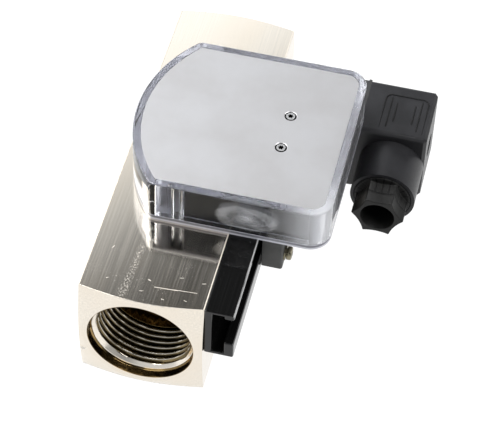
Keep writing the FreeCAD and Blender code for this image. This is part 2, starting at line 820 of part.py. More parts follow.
# Arc-shaped scale strip behind the arc wall, on a leg at each end
def make_scale():
    body = new_body("arc_scale")
    inner = "scale_radius - scale_thick"
    top = "scale_rise + scale_height"
    strip = new_sketch(body, "XZ_Plane", "strip_section")
    draw_rectangle(strip, inner, "scale_rise", "scale_radius", top)
    band = body.newObject("PartDesign::Revolution", "strip_band")
    band.Profile = strip
    band.ReferenceAxis = (strip, ["V_Axis"])
    bind(band, "Angle", "scale_angle")
    legs = []
    for number, angle in enumerate(("0", "scale_angle - scale_leg_angle")):
        leg = new_sketch(body, "XZ_Plane", "leg_section_%d" % number)
        draw_rectangle(leg, inner, "0", "scale_radius", "scale_rise + scale_leg_lap")
        spin = body.newObject("PartDesign::Revolution", "scale_leg_%d" % number)
        spin.Profile = leg
        spin.ReferenceAxis = (leg, ["V_Axis"])
        if number == 0:
            bind(spin, "Angle", "scale_leg_angle")
        else:
            spin.Type = "TwoAngles"
            bind(spin, "Angle", "scale_angle")
            bind(spin, "Angle2", "-(%s)" % angle)
        legs.append(spin)
    body.Placement = FreeCAD.Placement(FreeCAD.Vector(), FreeCAD.Rotation(FreeCAD.Vector(0, 0, 1), 1))
    bind(body, "Placement.Rotation.Angle", "180 - scale_angle / 2")
    for axis, text in (("x", "pivot_x"), ("y", "pivot_y"), ("z", BOX_FLOOR)):
        bind(body, "Placement.Base." + axis, text)
    return keep(body)


# Rail: C section with a low upper lip and a tall lower lip, on the body's right side
def make_rail():
    body = new_body("switch_rail")
    section = new_sketch(body, "XZ_Plane", "rail_section", "-rail_start")
    lip = RAIL_FACE + " - rail_lip"
    draw_outline(section, [
        (TOP, RAIL_LOW),
        (RAIL_FACE, RAIL_LOW),
        (RAIL_FACE, RAIL_LOW + " + rail_lower_lip"),
        (lip, RAIL_LOW + " + rail_lower_lip"),
        (lip, RAIL_LOW + " + rail_flange"),
        (TOP + " + rail_web", RAIL_LOW + " + rail_flange"),
        (TOP + " + rail_web", TOP + " - rail_flange"),
        (lip, TOP + " - rail_flange"),
        (lip, TOP + " - rail_upper_lip"),
        (RAIL_FACE, TOP + " - rail_upper_lip"),
        (RAIL_FACE, TOP),
        (TOP, TOP),
    ])
    pad(body, section, "rail_bar", "rail_length", backwards=True)
    return keep(body)


# Switch housing: block with a pocket for the reed contact, held by a shoe in the rail
def make_switch_housing():
    body = new_body("switch_housing")
    add_box(body, "switch_block", (SWITCH_LEFT, "switch_start", SWITCH_LOW),
            ("switch_thick", "switch_length", "switch_height"))
    block = body.Tip
    front = value("switch_start")
    right = value(SWITCH_RIGHT)
    edge = edges_where(block, lambda p, along: abs(p.y - front) < NEAR and abs(p.x - right) < NEAR)
    fillet(body, "switch_bevel_edge", block, edge, "switch_bevel", "PartDesign::Chamfer")
    remove_box(body, "switch_pocket",
               (SWITCH_RIGHT + " - pocket_depth", "switch_start + pocket_start",
                SWITCH_LOW + " + pocket_margin"),
               ("pocket_depth", "pocket_length", "switch_height - 2 * pocket_margin"))
    remove_cylinder(body, "clamp_hole", (SWITCH_LEFT, clamp_y(), clamp_z()), "+X",
                    "clamp_screw_d + 2 * clamp_gap", "switch_thick")
    return keep(body)


def clamp_y():
    return "switch_start + clamp_screw_inset"


def clamp_z():
    return RAIL_LOW + " + clamp_screw_rise"


def make_guide_shoe():
    body = new_body("guide_shoe")
    section = new_sketch(body, "XZ_Plane", "shoe_section", "-(switch_start + shoe_inset)")
    inner = TOP + " + rail_web + shoe_gap"
    neck = RAIL_FACE + " - rail_lip - shoe_gap"
    low = RAIL_LOW + " + rail_lower_lip + shoe_gap"
    high = TOP + " - rail_upper_lip - shoe_gap"
    draw_outline(section, [
        (inner, RAIL_LOW + " + shoe_low"),
        (neck, RAIL_LOW + " + shoe_low"),
        (neck, low),
        (SWITCH_LEFT, low),
        (SWITCH_LEFT, high),
        (neck, high),
        (neck, TOP + " - rail_flange - shoe_gap"),
        (inner, TOP + " - rail_flange - shoe_gap"),
    ])
    pad(body, section, "shoe_bar", "shoe_length", backwards=True)
    return keep(body)


def make_switch_inside():
    low = SWITCH_LOW + " + pocket_margin"
    height = "switch_height - 2 * pocket_margin"
    start = "switch_start + pocket_start"
    lid = new_body("switch_lid")
    add_box(lid, "lid_plate", (SWITCH_RIGHT + " - lid_thick", start, low),
            ("lid_thick", "pocket_length", height))
    keep(lid)
    board = new_body("reed_board")
    floor = SWITCH_RIGHT + " - pocket_depth"
    add_box(board, "board_plate", (floor, start + " + board_gap", low + " + board_gap"),
            ("board_thick", "pocket_length - 2 * board_gap", height + " - 2 * board_gap"))
    keep(board)
    middle = "switch_start + pocket_start + pocket_length / 2"
    x = floor + " + board_thick + reed_d / 2"
    z = SWITCH_LOW + " + switch_height / 2"
    reed = new_body("reed_switch")
    add_cylinder(reed, "reed_glass", (x, middle + " - reed_length / 2", z), "+Y", "reed_d", "reed_length")
    keep(reed)
    leads = []
    for number, station in enumerate((" - reed_length / 2 - reed_lead", " + reed_length / 2")):
        lead = new_body("reed_lead_%d" % number)
        add_box(lead, "lead_strip_%d" % number,
                (x + " - reed_lead_side / 2", middle + station, z + " - reed_lead_side / 2"),
                ("reed_lead_side", "reed_lead", "reed_lead_side"))
        leads.append(lead)
    keep(group("reed_leads", leads))


# Clamp screw that bears on the rail's lower lip
def slotted_screw(label, at, along, screw_d, shank, head_d, head_thick):
    """Cylinder-head screw; at is the underside of the head, along points to the head's top."""
    body = turned(label, [
        ("0", "-(%s)" % shank),
        ("%s / 2" % screw_d, "-(%s)" % shank),
        ("%s / 2" % screw_d, "0"),
        ("%s / 2" % head_d, "0"),
        ("%s / 2" % head_d, head_thick),
        ("0", head_thick),
    ], along, at)
    remove_box(body, label + "_slot", ("-slot_width / 2", head_thick + " - slot_depth", "-" + head_d),
               ("slot_width", "slot_depth", "2 * " + head_d))
    return body


def make_clamp():
    keep(slotted_screw("clamp_screw", (SWITCH_RIGHT + " + clamp_gap", clamp_y(), clamp_z()), "+X",
                       "clamp_screw_d", "(%s - %s)" % (SWITCH_RIGHT, RAIL_FACE), "clamp_head_d",
                       "clamp_head_thick"))


# Connector base with three flat blades, and the flat gasket in front of it
def blade_boxes(grow):
    """Low corner and size of each blade's section: two line blades and the earth blade."""
    boxes = []
    for sign in ("-", "+"):
        boxes.append((
            "connector_y %s blade_spacing / 2 - blade_thick / 2 - %s" % (sign, grow),
            "connector_z + blade_rise - blade_width / 2 - " + grow,
            "blade_thick + 2 * " + grow,
            "blade_width + 2 * " + grow,
        ))
    boxes.append((
        "connector_y - blade_width / 2 - " + grow,
        "connector_z - earth_drop - blade_thick / 2 - " + grow,
        "blade_width + 2 * " + grow,
        "blade_thick + 2 * " + grow,
    ))
    return boxes


def make_connector():
    body = new_body("connector_base")
    add_box(body, "connector_block",
            (SWITCH_RIGHT, "connector_y - plug_width / 2 - connector_margin",
             "connector_z - plug_height / 2 - connector_margin - connector_drop"),
            ("connector_depth", "plug_width + 2 * connector_margin", "plug_height + 2 * connector_margin"))
    block = body.Tip
    edges = edges_where(block, lambda p, along: abs(along.x) > 0.9)
    fillet(body, "connector_corners", block, edges, "connector_bevel")
    for number, (y, z, wide, tall) in enumerate(blade_boxes("0")):
        remove_box(body, "blade_seat_%d" % number, (CONNECTOR_FACE + " - blade_root", y, z),
                   ("blade_root", wide, tall))
    remove_cylinder(body, "centre_tap", (CONNECTOR_FACE, "connector_y", "connector_z"), "-X",
                    "centre_screw_d + 2 * clamp_gap", "centre_screw_bite + centre_screw_gap")
    keep(body)
    blades = []
    for number, (y, z, wide, tall) in enumerate(blade_boxes("0")):
        blade = new_body("blade_%d" % number)
        add_box(blade, "blade_bar_%d" % number, (CONNECTOR_FACE + " - blade_root", y, z),
                ("blade_root + blade_length", wide, tall))
        blades.append(blade)
    keep(group("contact_blades", blades))

    gasket = new_body("flat_gasket")
    frame = new_sketch(gasket, "YZ_Plane", "gasket_outline", CONNECTOR_FACE)
    for margin in ("0", "gasket_frame"):
        draw_rectangle(frame, "connector_y - plug_width / 2 + " + margin,
                       "connector_z - plug_height / 2 + " + margin,
                       "connector_y + plug_width / 2 - " + margin,
                       "connector_z + plug_height / 2 - " + margin)
    pad(gasket, frame, "gasket_pad", "gasket_thick")
    keep(gasket)


# Plug: angled housing with a round collar, open towards the connector base
def make_plug():
    body = new_body("plug_housing")
    section = new_sketch(body, "YZ_Plane", "plug_section", PLUG_START)
    draw_rectangle(section, PLUG_FRONT, "connector_z - plug_height / 2", "connector_y + plug_width / 2",
                   "connector_z + plug_height / 2")
    block = pad(body, section, "plug_block", "plug_depth")
    back = value(PLUG_BACK)
    edges = edges_where(block, lambda p, along: abs(along.x) > 0.9)
    rounded = fillet(body, "plug_corners", block, edges, "plug_corner")
    doc.recompute()
    names = ["Edge%d" % number for number, edge in enumerate(rounded.Shape.Edges, start=1)
             if edge.BoundBox.XMin > back - NEAR]
    fillet(body, "plug_bevel", rounded, names, "plug_back_edge", "PartDesign::Chamfer")
    add_cylinder(body, "collar", ("collar_x", COLLAR_MOUTH, "connector_z"), "+Y", "collar_d",
                 "collar_length + plug_corner")
    cavity = new_sketch(body, "YZ_Plane", "plug_cavity", PLUG_START)
    draw_rectangle(cavity, PLUG_FRONT + " + plug_wall", "connector_z - plug_height / 2 + plug_wall",
                   "connector_y + plug_width / 2 - plug_wall", "connector_z + plug_height / 2 - plug_wall")
    pad(body, cavity, "plug_cavity_cut", "plug_depth - plug_back", "PartDesign::Pocket", True)
    remove_cylinder(body, "collar_bore", ("collar_x", COLLAR_MOUTH, "connector_z"), "+Y", "collar_bore_d",
                    "collar_bore_depth")
    remove_cylinder(body, "cable_hole", ("collar_x", COLLAR_MOUTH, "connector_z"), "+Y", "cable_hole_d",
                    "collar_length + plug_wall + plug_corner")
    remove_cylinder(body, "centre_recess", (PLUG_BACK, "connector_y", "connector_z"), "-X",
                    "centre_recess_d", "centre_recess_depth")
    remove_cylinder(body, "centre_hole", (PLUG_BACK, "connector_y", "connector_z"), "-X",
                    "centre_screw_d + 2 * centre_screw_gap", "plug_back")
    keep(body)

    insert = new_body("terminal_insert")
    add_box(insert, "insert_block",
            (PLUG_START + " + insert_gap", PLUG_FRONT + " + plug_wall + insert_gap",
             "connector_z - plug_height / 2 + plug_wall + insert_gap"),
            ("insert_depth", "plug_width - 2 * plug_wall - 2 * insert_gap",
             "plug_height - 2 * plug_wall - 2 * insert_gap"))
    for number, (y, z, wide, tall) in enumerate(blade_boxes("slot_gap")):
        remove_box(insert, "blade_slot_%d" % number, (PLUG_START + " + insert_gap", y, z),
                   ("blade_length - gasket_thick + slot_gap", wide, tall))
    remove_cylinder(insert, "insert_hole", (PLUG_START, "connector_y", "connector_z"), "+X",
                    "centre_screw_d + 2 * centre_screw_gap", "insert_depth + insert_gap")
    keep(insert)

    seat = PLUG_BACK + " - centre_recess_depth + clamp_gap"
    shank = "(%s) - %s + centre_screw_bite" % (seat, CONNECTOR_FACE)
    keep(slotted_screw("centre_screw", (seat, "connector_y", "connector_z"), "+X", "centre_screw_d",
                       "(%s)" % shank, "centre_head_d", "centre_head_thick"))


# Cable gland: star nut with a threaded spigot, and the rubber seal that it presses on
def make_gland():
    start = COLLAR_MOUTH + " - gland_start"
    nut = new_body("gland_nut")
    face = new_sketch(nut, "XZ_Plane", "nut_face")
    draw_circle(face, "0", "0", "gland_nut_d")
    draw_circle(face, "0", "0", "gland_hole_d")
    pad(nut, face, "nut_disc", "gland_nut_length", backwards=True)
    half_angle = "(180 / gland_lobes)"
    flat = "(gland_nut_d / 2 * cos%s)" % half_angle
    chord = "(gland_nut_d / 2 * sin%s)" % half_angle
    centre = "((%s * %s + %s * %s - gland_valley * gland_valley) / 2 / (%s - gland_valley))" % (
        flat, flat, chord, chord, flat)
    scallop_at = ("%s * cos%s" % (centre, half_angle), "0", "%s * sin%s" % (centre, half_angle))
    scallop = remove_cylinder(nut, "nut_scallop", scallop_at, "+Y", "2 * (%s - gland_valley)" % centre,
                              "gland_nut_length")
    pattern(nut, "nut_scallops", scallop, face, "gland_lobes")
    spigot = new_sketch(nut, "XZ_Plane", "spigot_ring", "-gland_nut_length")
    draw_circle(spigot, "0", "0", "gland_thread_d")
    draw_circle(spigot, "0", "0", "gland_hole_d")
    pad(nut, spigot, "nut_spigot", "gland_thread_length", backwards=True)
    place(nut, ("collar_x", start, "connector_z"))
    keep(nut)
    seal_start = start + " + gland_nut_length + gland_thread_length + gland_gap"
    keep(tube("gland_seal", "seal_hole_d", "collar_bore_d - 2 * insert_gap",
              "(%s + collar_bore_depth) - (%s)" % (COLLAR_MOUTH, seal_start), "+Y",
              ("collar_x", seal_start, "connector_z")))


make_flow_body()
make_spider("inlet_spider", "spider_inset", "spider_inset", "front_stop")
make_spider("outlet_spider", ARMS_OUT, "(%s - rear_stop)" % ARMS_OUT, "rear_stop")
make_guide_rod()
make_sleeve()
make_float()
make_spring()
make_indicator_base()
make_cover()
make_dial_plate()
make_plate_screws()
make_inner_frame()
make_pointer()
make_scale()
make_rail()
make_switch_housing()
make_guide_shoe()
make_switch_inside()
make_clamp()
make_connector()
make_plug()
make_gland()
doc.recompute()

for thing in doc.Objects:
    if "Invalid" in thing.State or "Error" in thing.State:
        raise RuntimeError("%s failed: %s" % (thing.Name, thing.State))
for node in nodes:
    if node.Shape.isNull() or not node.Shape.isValid() or not node.Shape.Solids:
        raise RuntimeError("%s has no valid shape" % node.Label)

os.makedirs("parts", exist_ok=True)
for node in nodes:
    node.Shape.exportStep(os.path.join("parts", node.Label + ".step"))
    print("%-18s %2d solids %10.1f mm3" % (node.Label, len(node.Shape.Solids), node.Shape.Volume))
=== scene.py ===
import json
import math

import bmesh
import bpy
from mathutils import Matrix, Vector


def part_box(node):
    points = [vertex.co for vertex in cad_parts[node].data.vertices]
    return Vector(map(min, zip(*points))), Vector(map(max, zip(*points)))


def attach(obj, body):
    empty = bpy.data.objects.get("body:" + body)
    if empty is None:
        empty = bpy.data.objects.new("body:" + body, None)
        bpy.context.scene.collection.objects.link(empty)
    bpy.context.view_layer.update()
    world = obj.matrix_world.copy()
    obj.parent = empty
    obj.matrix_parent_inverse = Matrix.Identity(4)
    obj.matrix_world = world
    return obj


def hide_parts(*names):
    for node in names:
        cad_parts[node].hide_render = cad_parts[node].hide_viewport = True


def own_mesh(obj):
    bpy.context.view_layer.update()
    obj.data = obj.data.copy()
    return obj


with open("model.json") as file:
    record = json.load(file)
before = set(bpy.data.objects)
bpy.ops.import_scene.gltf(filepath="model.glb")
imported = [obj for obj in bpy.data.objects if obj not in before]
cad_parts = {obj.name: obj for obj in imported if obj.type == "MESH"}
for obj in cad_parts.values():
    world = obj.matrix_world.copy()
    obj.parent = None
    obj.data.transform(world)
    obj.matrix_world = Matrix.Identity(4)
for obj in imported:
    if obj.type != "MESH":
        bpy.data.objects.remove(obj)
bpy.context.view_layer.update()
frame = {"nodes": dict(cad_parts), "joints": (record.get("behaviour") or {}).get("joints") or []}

# Looks of a variable area flow meter: plated square body with threaded ports, clear D-shaped
# indicator box with a satin plate, switch on a black rail, and an angled plug.
# Places and sizes are in metres, in the frame of the solids.

MM = 0.001

# The camera, fitted to the edges of the body in the photograph
CAMERA_PLACE = (0.111064, -0.382913, 0.519611)
CAMERA_RIGHT = (0.97270873, 0.23022128, 0.02891186)
CAMERA_DOWN = (0.19244825, -0.73088074, -0.65481067)
CAMERA_AHEAD = (-0.12962023, 0.64250409, -0.75523975)
CAMERA_LENS = 149.545
SENSOR_WIDTH = 36.0

# Sizes that follow the solids
BODY_SIDE = 40.0 * MM
BODY_LENGTH = 131.0 * MM
THREAD_MAJOR = 16.6 * MM
THREAD_MINOR = 15.2 * MM
THREAD_START = 3.1 * MM
THREAD_END = 19.0 * MM
THREAD_PITCH = 2.309 * MM
BOX_CORNER = 7.0 * MM
BOX_ARC_CORNER = 3.0 * MM
WALL = 3.4 * MM
RIM = 2.6 * MM
RIM_DEPTH = 1.5 * MM
TOP_ROUND = 0.7 * MM
POST_RADIUS = 2.0 * MM

# Gap between the clear cover's foot and the base below it
SEE_THROUGH_GAP = 0.03 * MM

# Middle of the gate mark on the front wall of the cover
GATE_X = 25.2 * MM
GATE_Z = 28.6 * MM

NODES = frame["nodes"]
PIVOT = next(Vector(joint["pos_m"]) for joint in frame["joints"] if joint["name"] == "pointer_turn")


# Meshes

def mesh_piece(name, points, faces, body, smooth_angle=None):
    """A piece of the scene that rides on a body, from points and faces."""
    mesh = bpy.data.meshes.new(name)
    mesh.from_pydata([tuple(point) for point in points], [], faces)
    mesh.update()
    shape = bmesh.new()
    shape.from_mesh(mesh)
    bmesh.ops.remove_doubles(shape, verts=shape.verts, dist=1e-7)
    bmesh.ops.recalc_face_normals(shape, faces=shape.faces)
    shape.to_mesh(mesh)
    shape.free()
    piece = bpy.data.objects.new(name, mesh)
    bpy.context.scene.collection.objects.link(piece)
    if smooth_angle is not None:
        shade_smooth(mesh, smooth_angle)
    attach(piece, body)
    return piece


def shade_smooth(mesh, angle):
    """Shades a mesh smooth, apart from edges sharper than an angle in degrees."""
    for face in mesh.polygons:
        face.use_smooth = True
    mesh.set_sharp_from_angle(angle=math.radians(angle))


def ring_faces(start, following, count):
    """Quads between two rings of equally many points, given the number of each ring's first point."""
    faces = []
    for i in range(count):
        j = (i + 1) % count
        faces.append((start + i, start + j, following + j, following + i))
    return faces


def bridged(rings, loop=False):
    """Points and quads of a skin through a list of rings; loop joins the last ring to the first."""
    count = len(rings[0])
    points = [point for ring in rings for point in ring]
    faces = []
    for k in range(len(rings) - 1):
        faces += ring_faces(k * count, (k + 1) * count, count)
    if loop:
        faces += ring_faces((len(rings) - 1) * count, 0, count)
    return points, faces


def capped(rings):
    """Points and faces of a skin through a list of rings, closed at both ends."""
    points, faces = bridged(rings)
    count = len(rings[0])
    faces.append(tuple(reversed(range(count))))
    faces.append(tuple(range(len(points) - count, len(points))))
    return points, faces


def circle(radius, height, count):
    """Points of a circle round the Z axis."""
    return [Vector((radius * math.cos(2 * math.pi * i / count),
                    radius * math.sin(2 * math.pi * i / count), height)) for i in range(count)]


def moved(points, matrix):
    return [matrix @ Vector(point) for point in points]


def round_edges(node, width):
    """Rounds the sharp edges of a solid, in its look alone."""
    weld = node.modifiers.new("weld", "WELD")
    weld.merge_threshold = 1e-6
    bevel = node.modifiers.new("edges", "BEVEL")
    bevel.width = width
    bevel.segments = 2
    bevel.limit_method = "ANGLE"
    bevel.angle_limit = math.radians(35.0)
    bevel.harden_normals = True


# Materials

# Sockets of a colour mix: its two colours, and its result
MIX_FIRST = 6
MIX_SECOND = 7
MIX_RESULT = 2

# Between these levels lies most of a fractal noise
NOISE_LOW = 0.3
NOISE_HIGH = 0.7

# Share of a line's half length at which its ends begin to fade
LINE_FULL = 0.85


class Finish:
    """A node material with one Principled shader, built up by small additions."""

    def __init__(self, name, **sockets):
        self.material = bpy.data.materials.new(name)
        self.material.use_nodes = True
        self.tree = self.material.node_tree
        self.shader = self.tree.nodes["Principled BSDF"]
        for socket, value in sockets.items():
            self.shader.inputs[socket.replace("_", " ")].default_value = value
        self.place = self.node("ShaderNodeTexCoord").outputs["Object"]

    @classmethod
    def of(cls, material):
        """Takes up a finish again from its material."""
        finish = cls.__new__(cls)
        finish.material = material
        finish.tree = material.node_tree
        finish.shader = finish.tree.nodes["Principled BSDF"]
        finish.place = finish.node("ShaderNodeTexCoord").outputs["Object"]
        return finish

    def node(self, kind, inputs=None, **settings):
        made = self.tree.nodes.new(kind)
        for name, value in settings.items():
            setattr(made, name, value)
        for name, value in (inputs or {}).items():
            if isinstance(value, bpy.types.NodeSocket):
                self.tree.links.new(value, made.inputs[name])
            else:
                made.inputs[name].default_value = value
        return made

    def stretched(self, scale):
        return self.node("ShaderNodeMapping", {"Vector": self.place, "Scale": scale}).outputs["Vector"]

    def noise(self, scale, detail=3.0, roughness=0.55):
        """Fractal noise with so many waves a metre along X, Y and Z."""
        vector = self.stretched(scale if isinstance(scale, tuple) else (scale,) * 3)
        made = self.node("ShaderNodeTexNoise", {"Vector": vector, "Scale": 1.0, "Detail": detail,
                                               "Roughness": roughness})
        return made.outputs["Fac"]

    def spread(self, value, low, high, to_low=0.0, to_high=1.0):
        """Carries a value softly from one range to another."""
        made = self.node("ShaderNodeMapRange", {"Value": value, "From Min": low, "From Max": high,
                                               "To Min": to_low, "To Max": to_high})
        made.interpolation_type = "SMOOTHSTEP"
        return made.outputs["Result"]

    def contrast(self, noise, to_low=0.0, to_high=1.0):
        """Spreads a noise over a whole range."""
        return self.spread(noise, NOISE_LOW, NOISE_HIGH, to_low, to_high)

    def math(self, operation, a, b=0.0):
        return self.node("ShaderNodeMath", {0: a, 1: b}, operation=operation).outputs["Value"]

    def axis(self, name):
        return self.node("ShaderNodeSeparateXYZ", {"Vector": self.place}).outputs[name]

    def distance_from(self, place):
        """Distance from a line along Y at an X and a Z."""
        centred = self.node("ShaderNodeVectorMath", {0: self.place, 1: (place[0], 0.0, place[1])},
                            operation="SUBTRACT")
        flat = self.node("ShaderNodeVectorMath", {0: centred.outputs["Vector"], 1: (1.0, 0.0, 1.0)},
                         operation="MULTIPLY")
        length = self.node("ShaderNodeVectorMath", {0: flat.outputs["Vector"]}, operation="LENGTH")
        return length.outputs["Value"]

    def near_line(self, start, end, outer, inner):
        """One along a line between two places in plan, fading out between two distances from it."""
        length = math.dist(start, end)
        along = ((end[0] - start[0]) / length, (end[1] - start[1]) / length, 0.0)
        off = (-along[1], along[0], 0.0)
        middle = ((start[0] + end[0]) / 2, (start[1] + end[1]) / 2, 0.0)
        away = self.node("ShaderNodeVectorMath", {0: self.place, 1: middle}, operation="SUBTRACT")
        distances = []
        for direction in (along, off):
            part = self.node("ShaderNodeVectorMath", {0: away.outputs["Vector"], 1: direction},
                             operation="DOT_PRODUCT")
            distances.append(self.math("ABSOLUTE", part.outputs["Value"]))
        beside = self.spread(distances[1], outer, inner)
        within = self.spread(distances[0], length / 2, length / 2 * LINE_FULL)
        return self.math("MULTIPLY", beside, within)

    def blend(self, factor, first, second):
        made = self.node("ShaderNodeMix", data_type="RGBA")
        for socket, value in ((made.inputs["Factor"], factor), (made.inputs[MIX_FIRST], first),
                              (made.inputs[MIX_SECOND], second)):
            if isinstance(value, bpy.types.NodeSocket):
                self.tree.links.new(value, socket)
            else:
                socket.default_value = value
        return made.outputs[MIX_RESULT]

    def colour(self, value):
        self.tree.links.new(value, self.shader.inputs["Base Color"])

    def rough(self, value):
        self.tree.links.new(value, self.shader.inputs["Roughness"])

    def bump(self, height, strength, distance):
        """Adds relief on top of what is there."""
        made = self.node("ShaderNodeBump", {"Height": height, "Strength": strength, "Distance": distance})
        before = self.shader.inputs["Normal"]
        if before.is_linked:
            self.tree.links.new(before.links[0].from_socket, made.inputs["Normal"])
        self.tree.links.new(made.outputs["Normal"], before)


def grey(level, tint=(1.0, 1.0, 1.0)):
    return (level * tint[0], level * tint[1], level * tint[2], 1.0)


# Places that the finishes go by, in X and Z where they are axes
RAIL_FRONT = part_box("switch_rail")[0][1]
RAIL_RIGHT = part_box("switch_rail")[1][0]
RAIL_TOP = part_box("switch_rail")[1][2]
PLATE_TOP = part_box("dial_plate")[1][2]
BOX_RIGHT_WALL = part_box("indicator_base")[1][0] - 3.6 * MM
FLOW_AXIS = (0.0, 0.0)
INSIDE_RADIUS = 17.3 * MM
NUT_AXIS = (62.45 * MM, 6.0 * MM)
NUT_GROOVES = 21.0
NUT_STEP_Y = 69.2 * MM
NUT_OUTSIDE = 6.5 * MM
NUT_SOFTNESS = 0.1 * MM

# Yellowish tint of the plating, against white
WARM = (1.0, 0.93, 0.82)

# Waves a metre of the marks that a turning tool leaves in a bore
TURNING = (60.0, 3000.0, 60.0)

# How much light the milky gate mark and the painted sheen on the clear cover hold back, and where they lie
MILK_AND_SHEEN_SHARE = 0.26
CORNER_SHEEN = 1.25
CORNER_CLEAR = (34.0 * MM, 60.0 * MM)
CORNER_FULL = (49.5 * MM, 36.0 * MM)
RIGHT_WALL_SHEEN = 0.4
RIGHT_WALL_SHEEN_DEPTH = 1.5 * MM
OVAL_HALF_WIDTH = 10.6 * MM
OVAL_HALF_HEIGHT = 5.6 * MM
FRONT_WALL_Y = 38.0 * MM
FRONT_WALL_END_Y = 38.5 * MM

# Specks fade out behind the inlet end, and a trail of crumbs runs from there
SPECKS_FULL_Y = 3.0 * MM
SPECKS_END_Y = 30.0 * MM
TRAIL_START = (-4.6 * MM, 24.0 * MM)
TRAIL_END = (-6.2 * MM, 0.5 * MM)
TRAIL_OUTER = 1.9 * MM
TRAIL_INNER = 0.1 * MM
TRAIL_LEVEL = 0.8
SCRATCH_CORE = 0.4

# Scratches on the top near the inlet: ends in plan, half width
SCRATCHES = [
    ((2.7 * MM, 7.2 * MM), (10.5 * MM, 7.6 * MM), 0.12 * MM),
    ((8.5 * MM, 7.6 * MM), (16.5 * MM, 8.1 * MM), 0.08 * MM),
    ((0.3 * MM, 9.7 * MM), (1.3 * MM, 9.2 * MM), 0.15 * MM),
    ((9.6 * MM, 12.6 * MM), (10.8 * MM, 12.9 * MM), 0.10 * MM),
    ((16.8 * MM, 12.0 * MM), (18.0 * MM, 12.4 * MM), 0.12 * MM),
    ((-12.5 * MM, 7.0 * MM), (-11.6 * MM, 7.5 * MM), 0.07 * MM),
    ((-1.2 * MM, 4.6 * MM), (0.1 * MM, 4.9 * MM), 0.07 * MM),
    ((6.0 * MM, 3.2 * MM), (7.1 * MM, 3.1 * MM), 0.07 * MM),
    ((-14.0 * MM, 19.0 * MM), (-13.4 * MM, 20.2 * MM), 0.08 * MM),
    ((13.0 * MM, 4.4 * MM), (13.9 * MM, 4.1 * MM), 0.06 * MM),
]


def stained(finish, dark, light):
    """Mottled colour of brass that has stood in water."""
    stains = finish.noise((90.0, 180.0, 90.0), 4.0)
    return finish.blend(finish.spread(stains, 0.38, 0.66), dark, light)


def nickel():
    """Plated and brushed lengthwise, with handling marks near the inlet end and a brown bore."""
    finish = Finish("nickel_plate", Metallic=1.0)
    streaks = finish.noise((1600.0, 24.0, 1600.0), 5.0)
    clouds = finish.noise((60.0, 25.0, 60.0), 3.0)
    tone = finish.blend(finish.spread(streaks, 0.35, 0.7), grey(0.74, WARM), grey(0.82, WARM))
    tone = finish.blend(finish.spread(clouds, 0.35, 0.7), tone, grey(0.77, (1.0, 0.91, 0.78)))
    brown = stained(finish, (0.11, 0.078, 0.034, 1.0), (0.38, 0.26, 0.11, 1.0))
    outside = finish.spread(finish.distance_from(FLOW_AXIS), INSIDE_RADIUS - 0.1 * MM, INSIDE_RADIUS)
    finish.colour(finish.blend(outside, brown, tone))
    marks = handling_marks(finish)
    smooth = finish.spread(streaks, 0.3, 0.75, 0.08, 0.13)
    finish.rough(finish.math("ADD", smooth, finish.math("MULTIPLY", marks, 0.5)))
    finish.bump(streaks, 0.07, 0.02 * MM)
    finish.bump(marks, 0.25, 0.05 * MM)
    return finish.material


def handling_marks(finish):
    """Specks, a trail and scratches near the inlet, and rubbed edges along both sides of the top."""
    near_mouth = finish.spread(finish.axis("Y"), SPECKS_END_Y, SPECKS_FULL_Y)
    patchy = finish.spread(finish.noise(160.0, 2.0), 0.50, 0.66)
    specks = finish.spread(finish.noise((1500.0, 3200.0, 1500.0), 2.0), 0.66, 0.74)
    marks = finish.math("MULTIPLY", near_mouth, finish.math("MULTIPLY", specks, patchy))
    trail = finish.near_line(TRAIL_START, TRAIL_END, TRAIL_OUTER, TRAIL_INNER)
    crumbs = finish.spread(finish.noise((2600.0, 2000.0, 2600.0), 2.0), 0.55, 0.66)
    crumbled = finish.math("MULTIPLY", trail, crumbs)
    marks = finish.math("MAXIMUM", marks, finish.math("MULTIPLY", crumbled, TRAIL_LEVEL))
    for start, end, width in SCRATCHES:
        marks = finish.math("MAXIMUM", marks, finish.near_line(start, end, width, width * SCRATCH_CORE))
    beside = finish.math("ABSOLUTE", finish.axis("X"))
    edges = finish.spread(beside, BODY_SIDE / 2 - 0.40 * MM, BODY_SIDE / 2 - 0.28 * MM)
    top_only = finish.spread(finish.axis("Z"), BODY_SIDE / 2 - 0.5 * MM, BODY_SIDE / 2 - 0.3 * MM)
    return finish.math("MAXIMUM", marks, finish.math("MULTIPLY", edges, top_only))


def thread_metal():
    """Cut thread: bright crests and lead-in, brown unplated flanks."""
    finish = Finish("thread_metal", Metallic=1.0)
    brown = stained(finish, (0.10, 0.078, 0.040, 1.0), (0.22, 0.17, 0.085, 1.0))
    radius = finish.distance_from(FLOW_AXIS)
    from_crest = finish.spread(radius, THREAD_MINOR + 0.04 * MM, THREAD_MINOR + 0.34 * MM)
    from_end = finish.math("ABSOLUTE", finish.math("SUBTRACT", finish.axis("Y"), BODY_LENGTH / 2))
    inside = finish.spread(from_end, BODY_LENGTH / 2 - THREAD_START - 1.2 * MM,
                           BODY_LENGTH / 2 - THREAD_START - 1.9 * MM)
    bright = finish.blend(inside, grey(0.80, WARM), grey(0.60, WARM))
    finish.colour(finish.blend(finish.math("MULTIPLY", from_crest, inside), bright, brown))
    turning = finish.noise(TURNING, 2.0)
    finish.rough(finish.contrast(turning, 0.14, 0.26))
    finish.bump(turning, 0.08, 0.02 * MM)
    return finish.material


def bore_brass():
    """Brass inside the body, dulled and brown."""
    finish = Finish("bore_brass", Metallic=0.5)
    finish.colour(stained(finish, (0.14, 0.105, 0.05, 1.0), (0.34, 0.25, 0.115, 1.0)))
    turning = finish.noise(TURNING, 2.0)
    finish.rough(finish.contrast(turning, 0.20, 0.34))
    return finish.material


